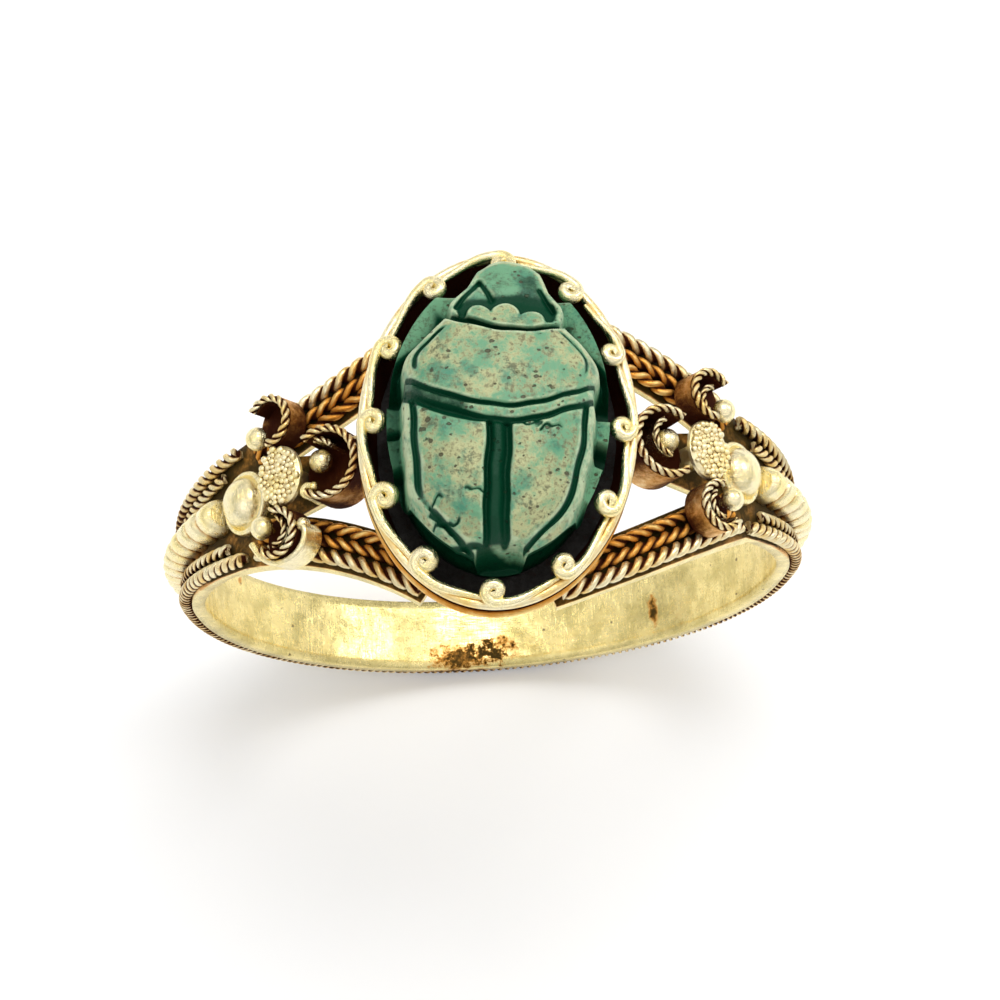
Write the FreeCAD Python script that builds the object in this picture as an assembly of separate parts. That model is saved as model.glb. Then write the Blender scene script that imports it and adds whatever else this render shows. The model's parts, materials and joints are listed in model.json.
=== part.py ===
import FreeCAD, Part
import math
import os

# A gold finger ring with a glazed scarab in a closed oval collet, in millimetres.
# The origin is the centre of the finger hole and Y is the hole's axis. Z points out
# of the collet, and +Y is the scarab's head end. A turn is an angle round the hoop,
# measured from +Z towards +X. Front is the -Y side, back the +Y side.

# Hoop
finger_radius = 8.75
band_thickness = 0.40
band_width = 2.28
shoulder_width = 3.80
taper_start_turn_deg = 99.0
shoulder_turn_deg = 50.0
taper_power = 1.25
edge_wire_diameter = 0.445
inner_wire_diameter = 0.36
inner_wire_clearance = 0.05
inner_wire_first_turn_deg = 57.5
inner_wire_last_turn_deg = 118.0
edge_wire_first_turn_deg = 52.5
cut_overrun = 1.0
seat_clearance = 0.015

# Forked shoulders
branch_width = 1.36
branch_rope_diameter = 0.48
branch_braid_diameter = 0.38
branch_foot_side_inset = 2.373
branch_foot_end_inset = 1.416
branch_bow_left = -0.26
branch_bow_right = 0.20
branch_wire_start_share = 0.03
branch_wire_end_share = 0.97
branch_root_share = -0.08
tongue_tip_inset = 0.2
tongue_root_inset = 0.2
tongue_width = 1.40

# Collet
rim_half_width = 3.973
rim_half_length = 5.336
collet_height = 1.63
rim_wire_diameter = 0.34
collet_turn_deg = -6.375
collet_floor_lift = 0.15
collet_floor_thickness = 0.28
collet_wall_thickness = 0.26
collet_foot_share = 0.885
foot_wire_diameter = 0.24
foot_wire_count = 3
claw_count = 12
claw_wire_diameter = 0.29
claw_outer_bend_radius = 0.36
claw_inner_bend_radius = 0.20
claw_stem_length = 0.72
claw_tilt_deg = 17.0
claw_first_angle_deg = -88.5
claw_size_shares = [0.92, 0.90, 0.97, 0.94, 0.86, 0.90, 0.95, 0.92, 0.94, 0.97, 1.06, 1.03]

# Rosettes on the shoulders
disc_step = 1.437
disc_half_length = 0.90
disc_half_width = 0.72
disc_lift = 1.27
disc_thickness = 0.34
disc_edge_share = 0.4
disc_stem_radius = 0.36
cup_clearance = 0.04
cup_wall_thickness = 0.20
cup_floor_thickness = 0.16
petal_lift = 1.15
cup_rim_wire_diameter = 0.24
inner_cup_offset = 0.365
inner_cup_radius = 1.08
inner_cup_opening_deg = 104.0
outer_cup_step = 1.597
outer_cup_radius = 0.76
outer_cup_opening_deg = 116.0
outer_cup_facing_deg = 24.0
ball_diameter = 0.70
ball_flat_deg = 22.0
ball_seat_height = 0.10
inner_ball_step = 0.399
inner_ball_along = 0.28
outer_ball_step = 2.172
outer_ball_along = 1.36
link_diameter = 0.18
link_along = 0.55
leaf_step = 3.625
leaf_plate_radius = 0.96
leaf_plate_thickness = 0.26
leaf_dome_radius = 0.74
leaf_dome_height = 0.50
rib_count = 10
rib_first_step = 4.743
rib_last_step = 12.09
rib_first_half_width = 0.58
rib_last_half_width = 0.24
rib_first_height = 0.86
rib_last_height = 0.80
rib_valley_share = 0.78
rib_valley_width_share = 0.89
rib_crest_shares = [0.25, 0.65]
rib_outline_shares = [(-1, 0), (-0.85, 0.70), (0, 1), (0.85, 0.70), (1, 0)]

# Scarab and its bed
bed_height = 0.35
bed_clearance = 0.02
stone_side_gap = 0.903
stone_end_gap = 1.036
scarab_height = 4.05
scarab_centre_y = 0.08
base_height = 0.75
leg_height = 1.80
fore_leg_height = 1.95
leg_root_share = 0.5
leg_reach_share = 0.965
leg_middles_deg = [-58, -35, -6, 184, 203, 236]
leg_spreads_deg = [6, 11, 8, 8, 9, 6]
fore_leg_middle_deg = 35
fore_leg_spread_deg = 22
string_hole_diameter = 0.80
string_hole_height = 1.15
groove_width = 0.14
groove_depth = 0.20
wing_line_middle_y = -0.33
wing_line_rise = 1.22
scutellum_length = 0.44
middle_line_gap = 0.49
neck_middle_y = 2.03
neck_gap = 0.22
neck_floor_height = 2.90
head_underside = 1.50
head_underside_share = 0.86
head_offset = 0.10
head_root_height = 3.32
head_tip_height = 2.24
head_tip_y = 4.68

# Plans of the stone, one side, as shares of its half width and half length
back_plan_shares = [
    (0.36, -0.985), (0.586, -0.85), (0.765, -0.64), (0.83, -0.395), (0.88, 0.02),
    (0.85, 0.10), (0.912, 0.265), (0.866, 0.35), (0.697, 0.433), (0.55, 0.528),
]
tail_plan_shares = [(-0.21, -1.0), (-0.06, -0.93), (0.14, -0.91), (0.31, -0.95)]
head_plan_shares = [(0.47, 0.0), (0.53, 0.34), (0.39, 0.58), (0.30, 0.82), (0.19, 0.94), (0.05, 1.0)]
dome_shares = [(1.02, 0.19), (1.0, 0.60), (0.955, 0.70), (0.80, 0.85), (0.56, 0.95), (0.25, 1.0)]
base_shares = [(0.955, 0.0), (0.965, 0.5), (0.93, 1.0)]

# How finely round forms are cut along and around
hoop_steps = 42
taper_steps = 8
rim_steps = 720
shoulder_steps = 11
branch_steps = 7
petal_steps = 9
scroll_steps = 4
oval_sides = 28
scarab_sides = 22
ball_levels = 5
dome_levels = 5
disc_sides = 16
dome_last_deg = 76.0
small_sides = 10
wire_sides = 6

outer_radius = finger_radius + band_thickness
branch_foot_x = rim_half_width - branch_foot_side_inset
branch_foot_y = rim_half_length - branch_foot_end_inset
scarab_half_width = rim_half_width - stone_side_gap
scarab_half_length = rim_half_length - stone_end_gap


def turn_beyond(step):
    """The turn that lies a length further round the hoop than the inner petal."""
    first = math.asin((rim_half_width + inner_cup_offset) / outer_radius)
    return math.degrees(first + step / outer_radius)


inner_cup_turn_deg = turn_beyond(0)
tongue_tip_turn_deg = turn_beyond(-tongue_tip_inset)
inner_ball_turn_deg = turn_beyond(inner_ball_step)
disc_turn_deg = turn_beyond(disc_step)
outer_cup_turn_deg = turn_beyond(outer_cup_step)
outer_ball_turn_deg = turn_beyond(outer_ball_step)
leaf_turn_deg = turn_beyond(leaf_step)
rib_first_turn_deg = turn_beyond(rib_first_step)
rib_last_turn_deg = turn_beyond(rib_last_step)
collet_floor_height = outer_radius + collet_floor_lift
rim_height = collet_floor_height + collet_height
disc_top_radius = outer_radius + disc_lift
cup_top_radius = outer_radius + petal_lift
floor_top = collet_floor_height + collet_floor_thickness
bed_top = floor_top + bed_height
shoulder_z = outer_radius * math.cos(math.radians(shoulder_turn_deg))
taper_start_z = outer_radius * math.cos(math.radians(taper_start_turn_deg))


X_AXIS = FreeCAD.Vector(1, 0, 0)
Y_AXIS = FreeCAD.Vector(0, 1, 0)
Z_AXIS = FreeCAD.Vector(0, 0, 1)
ORIGIN = FreeCAD.Vector(0, 0, 0)


def hoop_point(turn_deg, along, radius):
    turn = math.radians(turn_deg)
    return FreeCAD.Vector(radius * math.sin(turn), along, radius * math.cos(turn))


def half_width_at(height):
    """Half of the band's width where its outer face is at this height."""
    share = (height - taper_start_z) / (shoulder_z - taper_start_z)
    share = min(max(share, 0), 1) ** taper_power
    return (band_width + (shoulder_width - band_width) * share) / 2


def mirror_x(shape):
    return shape.mirror(ORIGIN, X_AXIS)


def mirror_y(shape):
    return shape.mirror(ORIGIN, Y_AXIS)


def polygon_face(points):
    return Part.Face(Part.makePolygon(points + points[:1]))


def skin(rings):
    """A closed solid through rings of points, one ring for each station."""
    wires = [Part.makePolygon(ring + ring[:1]) for ring in rings]
    return Part.makeLoft(wires, True, True)


def flat_height(radius):
    """From a wire's middle to the flat that it lies on."""
    return radius * math.cos(math.pi / wire_sides)


def wire_section(radius):
    """Corners of a wire's section as (across, up) pairs, with a flat at the bottom."""
    corners = []
    for k in range(wire_sides):
        angle = 2 * math.pi * (k + 0.5) / wire_sides - math.pi / 2
        corners.append((radius * math.cos(angle), radius * math.sin(angle)))
    return corners


def rod(points, normals, radius):
    """A wire along points, mitred at each bend. Each normal says which way is up there."""
    pieces = [(b - a).normalize() for a, b in zip(points, points[1:])]
    rings = []
    for i, point in enumerate(points):
        before = pieces[max(i - 1, 0)]
        after = pieces[min(i, len(pieces) - 1)]
        tangent = (before + after).normalize()
        across = tangent.cross(normals[i]).normalize()
        up = across.cross(tangent)
        # The section is cut on the slant, so it is longer in the direction of the bend.
        cosine = tangent.dot(after)
        bend = after - tangent * cosine
        ring = []
        for u, w in wire_section(radius):
            corner = across * u + up * w
            ring.append(point + corner + bend * (corner.dot(after) / (cosine * (1 + cosine))))
        rings.append(ring)
    return skin(rings)


def hoop_rod(first_turn_deg, last_turn_deg, steps, along_at, radius):
    """A wire laid on the band's outer face, its place across given by a function."""
    points = []
    normals = []
    for i in range(steps + 1):
        turn = first_turn_deg + (last_turn_deg - first_turn_deg) * i / steps
        points.append(hoop_point(turn, along_at(turn), outer_radius + seat_clearance + flat_height(radius)))
        normals.append(hoop_point(turn, 0, 1))
    return rod(points, normals, radius)


def edge_along(turn_deg):
    """Where the middle of an edge wire lies across the band, on the +Y side."""
    height = outer_radius * math.cos(math.radians(turn_deg))
    return half_width_at(height) - edge_wire_diameter / 2


def inner_along(turn_deg):
    step = (edge_wire_diameter + inner_wire_diameter) / 2 + inner_wire_clearance
    return edge_along(turn_deg) - step


def collet_place(shape):
    """Turns what was made square to the axes into the collet's own direction."""
    shape = shape.copy()
    shape.rotate(ORIGIN, Z_AXIS, collet_turn_deg)
    return shape


def collet_point(x, y):
    turn = math.radians(collet_turn_deg)
    return (x * math.cos(turn) - y * math.sin(turn), x * math.sin(turn) + y * math.cos(turn))


# The path of one forked branch, seen from above: an arc from shoulder to collet foot.
class BranchPath:
    def __init__(self, side, end):
        turn = math.radians(shoulder_turn_deg)
        start_y = (shoulder_width - branch_width) / 2
        self.start = FreeCAD.Vector(side * outer_radius * math.sin(turn), end * start_y, 0)
        foot_x, foot_y = collet_point(side * branch_foot_x, end * branch_foot_y)
        self.foot = FreeCAD.Vector(foot_x, foot_y, 0)
        chord = self.foot - self.start
        # The outward direction points away from the ring's middle plane.
        self.outward = FreeCAD.Vector(-chord.y, chord.x, 0).normalize()
        if self.outward.y * end < 0:
            self.outward = self.outward * -1
        self.bow = branch_bow_left if side < 0 else branch_bow_right
        half = chord.Length / 2
        middle = (self.start + self.foot) * 0.5
        self.radius = (half ** 2 + self.bow ** 2) / (2 * abs(self.bow))
        self.bend = 1 if self.bow > 0 else -1
        self.centre = middle + self.outward * (self.bow - self.bend * self.radius)
        self.angles = []
        for tip in (self.start, self.foot):
            arm = tip - self.centre
            self.angles.append(math.atan2(arm.y, arm.x))
        swing = self.angles[1] - self.angles[0]
        swing = (swing + math.pi) % (2 * math.pi) - math.pi
        self.swing = swing

    def at(self, share, offset):
        """A plan point; offset counts towards the ring's front or back edge."""
        angle = self.angles[0] + self.swing * share
        radius = self.radius + self.bend * offset
        return self.centre + FreeCAD.Vector(radius * math.cos(angle), radius * math.sin(angle), 0)

    def outline(self, first_share, last_share, half_width):
        outer = [self.at(share, half_width) for share in (first_share, 0.5, last_share)]
        inner = [self.at(share, -half_width) for share in (last_share, 0.5, first_share)]
        edges = [
            Part.Arc(outer[0], outer[1], outer[2]).toShape(),
            Part.LineSegment(outer[2], inner[0]).toShape(),
            Part.Arc(inner[0], inner[1], inner[2]).toShape(),
            Part.LineSegment(inner[2], outer[0]).toShape(),
        ]
        return Part.Face(Part.Wire(edges))


branches = {}
for side_name, side in (("left", -1), ("right", 1)):
    for end_name, end in (("front", -1), ("back", 1)):
        branches[side_name + "_" + end_name] = BranchPath(side, end)


def tube(inner, outer, length):
    start = FreeCAD.Vector(0, -length / 2, 0)
    solid = Part.makeCylinder(outer, length, start, Y_AXIS)
    return solid.cut(Part.makeCylinder(inner, length, start, Y_AXIS))


def make_hoop_band():
    """One sheet: a plain hoop that widens at the shoulders and forks into four arms."""
    reach = 2 * rim_half_length
    sheet = tube(finger_radius, outer_radius, reach)
    low = -outer_radius - cut_overrun
    heights = [low]
    for i in range(taper_steps + 1):
        heights.append(taper_start_z + (shoulder_z - taper_start_z) * i / taper_steps)
    front = [FreeCAD.Vector(-outer_radius, -half_width_at(z), z) for z in heights]
    back = [FreeCAD.Vector(-outer_radius, half_width_at(z), z) for z in reversed(heights)]
    side_prism = polygon_face(front + back).extrude(X_AXIS * (2 * outer_radius))
    band = sheet.common(side_prism)
    for path in branches.values():
        plan = path.outline(branch_root_share, 1.0, branch_width / 2)
        arm = plan.extrude(Z_AXIS * (outer_radius + cut_overrun))
        band = band.fuse(sheet.common(arm))
    # Between the arms a tongue runs on under the inner petal.
    tip_x = outer_radius * math.sin(math.radians(tongue_tip_turn_deg))
    root_x = outer_radius * math.sin(math.radians(shoulder_turn_deg)) + tongue_root_inset
    root_half = shoulder_width / 2 - branch_width / 2
    for side in (-1, 1):
        nose_x = tip_x + tongue_width / 2
        corners = [
            FreeCAD.Vector(side * root_x, -root_half, 0),
            FreeCAD.Vector(side * nose_x, -tongue_width / 2, 0),
            FreeCAD.Vector(side * nose_x, tongue_width / 2, 0),
            FreeCAD.Vector(side * root_x, root_half, 0),
        ]
        tongue = polygon_face(corners).extrude(Z_AXIS * (outer_radius + cut_overrun))
        nose_start = FreeCAD.Vector(side * nose_x, 0, 0)
        nose = Part.makeCylinder(tongue_width / 2, outer_radius + cut_overrun, nose_start)
        band = band.fuse(sheet.common(tongue.fuse(nose)))
    return band.removeSplitter()


def make_edge_wire():
    """The wire round the hoop's front edge, from shoulder to shoulder."""
    last = 360 - edge_wire_first_turn_deg

    def front_along(turn):
        return -edge_along(turn)

    return hoop_rod(edge_wire_first_turn_deg, last, hoop_steps, front_along, edge_wire_diameter / 2)


def make_inner_wire():
    """The shorter wire beside it on the right shoulder, front side."""

    def front_along(turn):
        return -inner_along(turn)

    first = inner_wire_first_turn_deg
    last = inner_wire_last_turn_deg
    return hoop_rod(first, last, shoulder_steps, front_along, inner_wire_diameter / 2)


def branch_wire(path, offset, diameter):
    radius = outer_radius + seat_clearance + flat_height(diameter / 2)
    points = []
    normals = []
    for i in range(branch_steps + 1):
        share = branch_wire_start_share
        share += (branch_wire_end_share - branch_wire_start_share) * i / branch_steps
        plan = path.at(share, offset)
        height = math.sqrt(radius ** 2 - plan.x ** 2)
        points.append(FreeCAD.Vector(plan.x, plan.y, height))
        normals.append(FreeCAD.Vector(plan.x, 0, height).normalize())
    return rod(points, normals, diameter / 2)


def make_branch_rope(path):
    return branch_wire(path, (branch_width - branch_rope_diameter) / 2, branch_rope_diameter)


def make_branch_braid(path):
    first = branch_width / 2 - branch_rope_diameter - branch_braid_diameter / 2
    second = first - branch_braid_diameter
    wires = []
    for offset in (first, second):
        wires.append(branch_wire(path, offset, branch_braid_diameter))
    return wires


def oval_points(half_width, half_length, height, sides=oval_sides):
    points = []
    for k in range(sides):
        angle = 2 * math.pi * k / sides
        points.append(FreeCAD.Vector(half_width * math.cos(angle), half_length * math.sin(angle), height))
    return points


def oval_stack(levels, sides=oval_sides):
    """A solid with an oval outline at each level, given as (width, length, height)."""
    return skin([oval_points(*level, sides) for level in levels])


def oval_ring(half_width, half_length, height, radius):
    """A wire bent into an oval, flat where it lies on what is under it."""
    outer = [(u, w) for u, w in wire_section(radius) if u > 0]
    outer.sort(key=lambda corner: corner[1])
    levels_out = [(half_width + u, half_length + u, height + w) for u, w in outer]
    levels_in = [(half_width - u, half_length - u, height + w) for u, w in outer]
    return oval_stack(levels_out).cut(oval_stack(levels_in))


def collet_size_at(height):
    """Half width and half length of the collet wall's outer face at a height."""
    top = rim_height - rim_wire_diameter / 2
    share = (height - collet_floor_height) / (top - collet_floor_height)
    share = collet_foot_share + (1 - collet_foot_share) * share
    inset = (rim_wire_diameter - collet_wall_thickness) / 2
    return ((rim_half_width - inset) * share, (rim_half_length - inset) * share)


def wall_top():
    return rim_height - flat_height(rim_wire_diameter / 2)


def make_collet_floor():
    low = collet_size_at(collet_floor_height)
    high = collet_size_at(floor_top)
    return oval_stack([(low[0], low[1], collet_floor_height), (high[0], high[1], floor_top)])


def collet_inside(first_height, last_height, gap=0):
    inset = collet_wall_thickness + gap
    levels = []
    for height in (first_height, last_height):
        width, length = collet_size_at(height)
        levels.append((width - inset, length - inset, height))
    return oval_stack(levels)


def collet_outside():
    """Everything within the collet wall's outer face, above the floor."""
    low = collet_size_at(floor_top)
    high = collet_size_at(wall_top())
    return oval_stack([(low[0], low[1], floor_top), (high[0], high[1], wall_top())])


def make_collet_wall():
    return collet_outside().cut(collet_inside(floor_top, wall_top()))


def make_rim_wire():
    inset = rim_wire_diameter / 2
    return oval_ring(rim_half_width - inset, rim_half_length - inset, rim_height, inset)


def foot_wire_place(i):
    """Half width, half length and height of the middle of one wire round the foot."""
    radius = foot_wire_diameter / 2
    height = collet_floor_height + flat_height(radius) * (2 * i + 1)
    width, length = collet_size_at(height + flat_height(radius))
    return (width + radius, length + radius, height)


def make_foot_wires():
    """Fine wires laid round the outside of the collet's foot."""
    return [oval_ring(*foot_wire_place(i), foot_wire_diameter / 2) for i in range(foot_wire_count)]


def rim_stations():
    """Ellipse angles of the claws, evenly spaced along the rim."""
    inset = rim_wire_diameter / 2
    a = rim_half_width - inset
    b = rim_half_length - inset
    lengths = [0]
    for i in range(rim_steps):
        angle = math.radians(claw_first_angle_deg) + 2 * math.pi * (i + 0.5) / rim_steps
        lengths.append(lengths[-1] + math.hypot(a * math.sin(angle), b * math.cos(angle)))
    angles = []
    i = 0
    for k in range(claw_count):
        while lengths[i + 1] < lengths[-1] * k / claw_count:
            i += 1
        angles.append(math.radians(claw_first_angle_deg) + 2 * math.pi * i / rim_steps)
    return angles


def make_claw(angle, size):
    """A wire that leaves the rim, rises a little inwards and rolls up over the stone."""
    inset = rim_wire_diameter / 2
    a = rim_half_width - inset
    b = rim_half_length - inset
    radius = claw_wire_diameter / 2
    root = FreeCAD.Vector(a * math.cos(angle), b * math.sin(angle), 0)
    along = FreeCAD.Vector(a * math.sin(angle), -b * math.cos(angle), 0).normalize()
    inward = FreeCAD.Vector(-b * math.cos(angle), -a * math.sin(angle), 0).normalize()
    tilt = math.radians(claw_tilt_deg)
    rise = inward * math.cos(tilt) + Z_AXIS * math.sin(tilt)
    facing = Z_AXIS * math.cos(tilt) - inward * math.sin(tilt)
    root.z = rim_height + flat_height(inset) + radius
    outer = claw_outer_bend_radius * size
    inner = claw_inner_bend_radius * size
    plan = [(-claw_stem_length * size, 0)]
    for i in range(scroll_steps):
        turn = math.pi * i / scroll_steps
        plan.append((outer * math.sin(turn), outer - outer * math.cos(turn)))
    for i in range(scroll_steps):
        turn = math.pi + math.pi * i / scroll_steps
        plan.append((inner * math.sin(turn), 2 * outer - inner - inner * math.cos(turn)))
    points = [root + along * u + rise * w for u, w in plan]
    return rod(points, [facing] * len(points), radius)


def make_claws():
    claws = []
    for k, angle in enumerate(rim_stations()):
        claws.append(make_claw(angle, claw_size_shares[k % len(claw_size_shares)]))
    return claws


def hoop_place(shape, turn_deg, along):
    """Moves what was made above the origin to its turn and place on the hoop."""
    shape = shape.copy()
    shape.translate(FreeCAD.Vector(0, along, 0))
    shape.rotate(ORIGIN, Y_AXIS, turn_deg)
    return shape


def outer_cup_along():
    return disc_half_length + outer_cup_radius + cup_clearance


def bent_round(profile, first_deg, last_deg, steps):
    """Carries a profile of (radius, height) pairs round the vertical through the origin."""
    rings = []
    for i in range(steps + 1):
        angle = math.radians(first_deg + (last_deg - first_deg) * i / steps)
        ring = []
        for radius, height in profile:
            ring.append(FreeCAD.Vector(radius * math.cos(angle), radius * math.sin(angle), height))
        rings.append(ring)
    return skin(rings)


def make_cup(radius, floor_height, opening_deg, facing_deg, turn_deg, along, ball_turn_deg, ball_along):
    """A petal: a floor and a tall strip wall open on one side, with a seat for its ball."""
    wall_inner = radius - cup_wall_thickness
    floor_end = floor_height + cup_floor_thickness
    profile = [
        (wall_inner, floor_end),
        (radius, floor_end),
        (radius, cup_top_radius),
        (wall_inner, cup_top_radius),
    ]
    first = facing_deg + opening_deg / 2
    last = facing_deg + 360 - opening_deg / 2
    wall = bent_round(profile, first, last, petal_steps)
    floor = oval_stack([(radius, radius, floor_height), (radius, radius, floor_end)], disc_sides)
    cup = hoop_place(wall.fuse(floor), turn_deg, along)
    seat = hoop_place(ball_seat(floor_height), ball_turn_deg, ball_along)
    return cup.fuse(seat).removeSplitter()


def ball_seat(floor_height):
    """A stub that rises from the floor to the ball's flat underside."""
    bottom = floor_height + cup_floor_thickness / 2
    top = floor_height + cup_floor_thickness + ball_seat_height
    seat = ball_diameter / 2 * math.sin(math.radians(ball_flat_deg))
    return oval_stack([(seat, seat, bottom), (seat, seat, top)], wire_sides)


def make_ball(floor_height, turn_deg, along):
    radius = ball_diameter / 2
    middle = floor_height + cup_floor_thickness + ball_seat_height
    middle += radius * math.cos(math.radians(ball_flat_deg))
    levels = []
    for i in range(ball_levels):
        polar = math.radians(180 - ball_flat_deg - (180 - 2 * ball_flat_deg) * i / (ball_levels - 1))
        reach = radius * math.sin(polar)
        levels.append((reach, reach, middle + radius * math.cos(polar)))
    return hoop_place(oval_stack(levels, small_sides), turn_deg, along)


def make_cup_rim(radius, opening_deg, facing_deg, turn_deg, along):
    """The beaded wire on top of a petal's wall, here a plain wire."""
    middle = radius - cup_wall_thickness / 2
    wire = cup_rim_wire_diameter / 2
    height = cup_top_radius + flat_height(wire)
    profile = [(middle + u, height + w) for u, w in wire_section(wire)]
    first = facing_deg + opening_deg / 2
    last = facing_deg + 360 - opening_deg / 2
    return hoop_place(bent_round(profile, first, last, petal_steps), turn_deg, along)


def make_disc():
    """The rosette's middle: a granulated oval plate on a short stem."""
    low = disc_top_radius - disc_thickness
    edge = disc_thickness * disc_edge_share
    levels = [
        (disc_half_width, disc_half_length, low),
        (disc_half_width, disc_half_length, disc_top_radius - edge),
        (disc_half_width - edge, disc_half_length - edge, disc_top_radius),
    ]
    plate = oval_stack(levels, disc_sides)
    stem_low = outer_radius + seat_clearance
    stem = [(disc_stem_radius, disc_stem_radius, height) for height in (stem_low, low)]
    return hoop_place(plate.fuse(oval_stack(stem, wire_sides)), disc_turn_deg, 0)


def make_leaf():
    """The outer petal: a smooth dome on a flat plate."""
    low = outer_radius + seat_clearance
    top = low + leaf_plate_thickness
    levels = [(leaf_plate_radius, leaf_plate_radius, height) for height in (low, top)]
    plate = oval_stack(levels, disc_sides)
    dome = []
    for i in range(dome_levels):
        polar = math.radians(90 - dome_last_deg * i / (dome_levels - 1))
        reach = leaf_dome_radius * math.sin(polar)
        dome.append((reach, reach, top + leaf_dome_height * math.cos(polar)))
    return hoop_place(plate.fuse(oval_stack(dome, disc_sides)).removeSplitter(), leaf_turn_deg, 0)


def make_ribs():
    """Graduated ribs that run down the shoulder from the leaf to the plain hoop."""
    rings = []
    stations = []
    for k in range(rib_count):
        stations.append((k, rib_valley_share, rib_valley_width_share))
        stations += [(k + crest, 1, 1) for crest in rib_crest_shares]
    stations.append((rib_count, rib_valley_share, rib_valley_width_share))
    for place, height_share, width_share in stations:
        share = place / rib_count
        turn = rib_first_turn_deg + (rib_last_turn_deg - rib_first_turn_deg) * share
        half = rib_first_half_width + (rib_last_half_width - rib_first_half_width) * share
        height = rib_first_height + (rib_last_height - rib_first_height) * share
        half *= width_share
        height *= height_share
        low = outer_radius + seat_clearance
        rings.append([hoop_point(turn, half * a, low + height * b) for a, b in rib_outline_shares])
    return skin(rings)


def make_link(side):
    """A short bar of solder from the inner petal's wall to the middle foot wire."""
    angle = math.asin(link_along / inner_cup_radius)
    start = FreeCAD.Vector(-inner_cup_radius * math.cos(angle), link_along, cup_top_radius - link_diameter)
    start = FreeCAD.Rotation(Y_AXIS, inner_cup_turn_deg).multVec(start) + X_AXIS * (link_diameter / 2)
    start.x *= side
    start = FreeCAD.Rotation(Z_AXIS, -collet_turn_deg).multVec(start)
    width, length, height = foot_wire_place(foot_wire_count // 2)
    reach = width * math.sqrt(1 - (start.y / length) ** 2)
    end = FreeCAD.Vector(side * reach, start.y, height)
    return collet_place(rod([start, end], [Z_AXIS, Z_AXIS], link_diameter / 2))


# The scarab is made in the collet's direction, its underside at height zero.
def stone_point(x_share, y_share, height):
    x = scarab_half_width * x_share
    return FreeCAD.Vector(x, scarab_centre_y + scarab_half_length * y_share, height)


def stone_stack(shares, height, inset=0):
    """An oval form through levels given as (size share, height share)."""
    levels = []
    for size, level in shares:
        width = scarab_half_width * size - inset
        length = scarab_half_length * size - inset
        levels.append((width, length, height * level - (inset if level == 1 else 0)))
    solid = oval_stack(levels, scarab_sides)
    solid.translate(FreeCAD.Vector(0, scarab_centre_y, 0))
    return solid


def back_plan():
    """The outline of thorax and wing cases seen from above, with the chipped tail."""
    right = list(back_plan_shares)
    left = [(-x, y) for x, y in reversed(back_plan_shares)]
    middle = [(0, (neck_middle_y - scarab_centre_y) / scarab_half_length)]
    shares = right + middle + left + tail_plan_shares
    return polygon_face([stone_point(x, y, 0) for x, y in shares]).extrude(Z_AXIS * scarab_height)


def wedge(middle_deg, spread_deg, height):
    """A leg: a sector of the base that stands up beside the back."""
    outer = []
    inner = []
    for angle_deg in (middle_deg - spread_deg, middle_deg, middle_deg + spread_deg):
        angle = math.radians(angle_deg)
        x = math.cos(angle) / scarab_half_width
        y = math.sin(angle) / scarab_half_length
        reach = math.hypot(x, y)
        outer.append(stone_point(x / reach * leg_reach_share, y / reach * leg_reach_share, 0))
        inner.append(stone_point(x / reach * leg_root_share, y / reach * leg_root_share, 0))
    plan = polygon_face(outer + inner[::-1])
    leg = plan.extrude(Z_AXIS * (height - base_height / 2))
    leg.translate(Z_AXIS * (base_height / 2))
    return leg


def make_head():
    """The head, a plate that falls towards its tip and is smaller underneath."""
    length = head_tip_y - neck_middle_y
    rings = []
    for grown, underside in ((head_underside_share, True), (1, False)):
        ring = []
        plan = head_plan_shares + [(-x, y) for x, y in reversed(head_plan_shares)]
        for x_share, y_share in plan:
            x = head_offset + scarab_half_width * x_share * grown
            y = neck_middle_y + length * y_share * grown
            top = head_root_height + (head_tip_height - head_root_height) * y_share
            ring.append(FreeCAD.Vector(x, y, head_underside if underside else top))
        rings.append(ring)
    return skin(rings)


def arc_strip(ends_x, ends_y, middle_y, width):
    """A bent strip in plan, standing from the stone's foot to above its top."""
    edges = []
    for offset, direction in ((width / 2, 1), (-width / 2, -1)):
        left = FreeCAD.Vector(-direction * ends_x, ends_y + offset, 0)
        middle = FreeCAD.Vector(0, middle_y + offset, 0)
        right = FreeCAD.Vector(direction * ends_x, ends_y + offset, 0)
        edges.append(Part.Arc(left, middle, right).toShape())
    right_end = FreeCAD.Vector(ends_x, ends_y + width / 2, 0)
    right_low = FreeCAD.Vector(ends_x, ends_y - width / 2, 0)
    left_end = FreeCAD.Vector(-ends_x, ends_y + width / 2, 0)
    left_low = FreeCAD.Vector(-ends_x, ends_y - width / 2, 0)
    wire = Part.Wire([
        edges[0],
        Part.LineSegment(right_end, right_low).toShape(),
        edges[1],
        Part.LineSegment(left_low, left_end).toShape(),
    ])
    return Part.Face(wire).extrude(Z_AXIS * (scarab_height + cut_overrun))


def in_skin(strip):
    """The part of a strip that lies in the back's skin, above the legs."""
    strip = strip.copy()
    strip.translate(Z_AXIS * fore_leg_height)
    return strip.cut(stone_stack(dome_shares, scarab_height, groove_depth))


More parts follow.
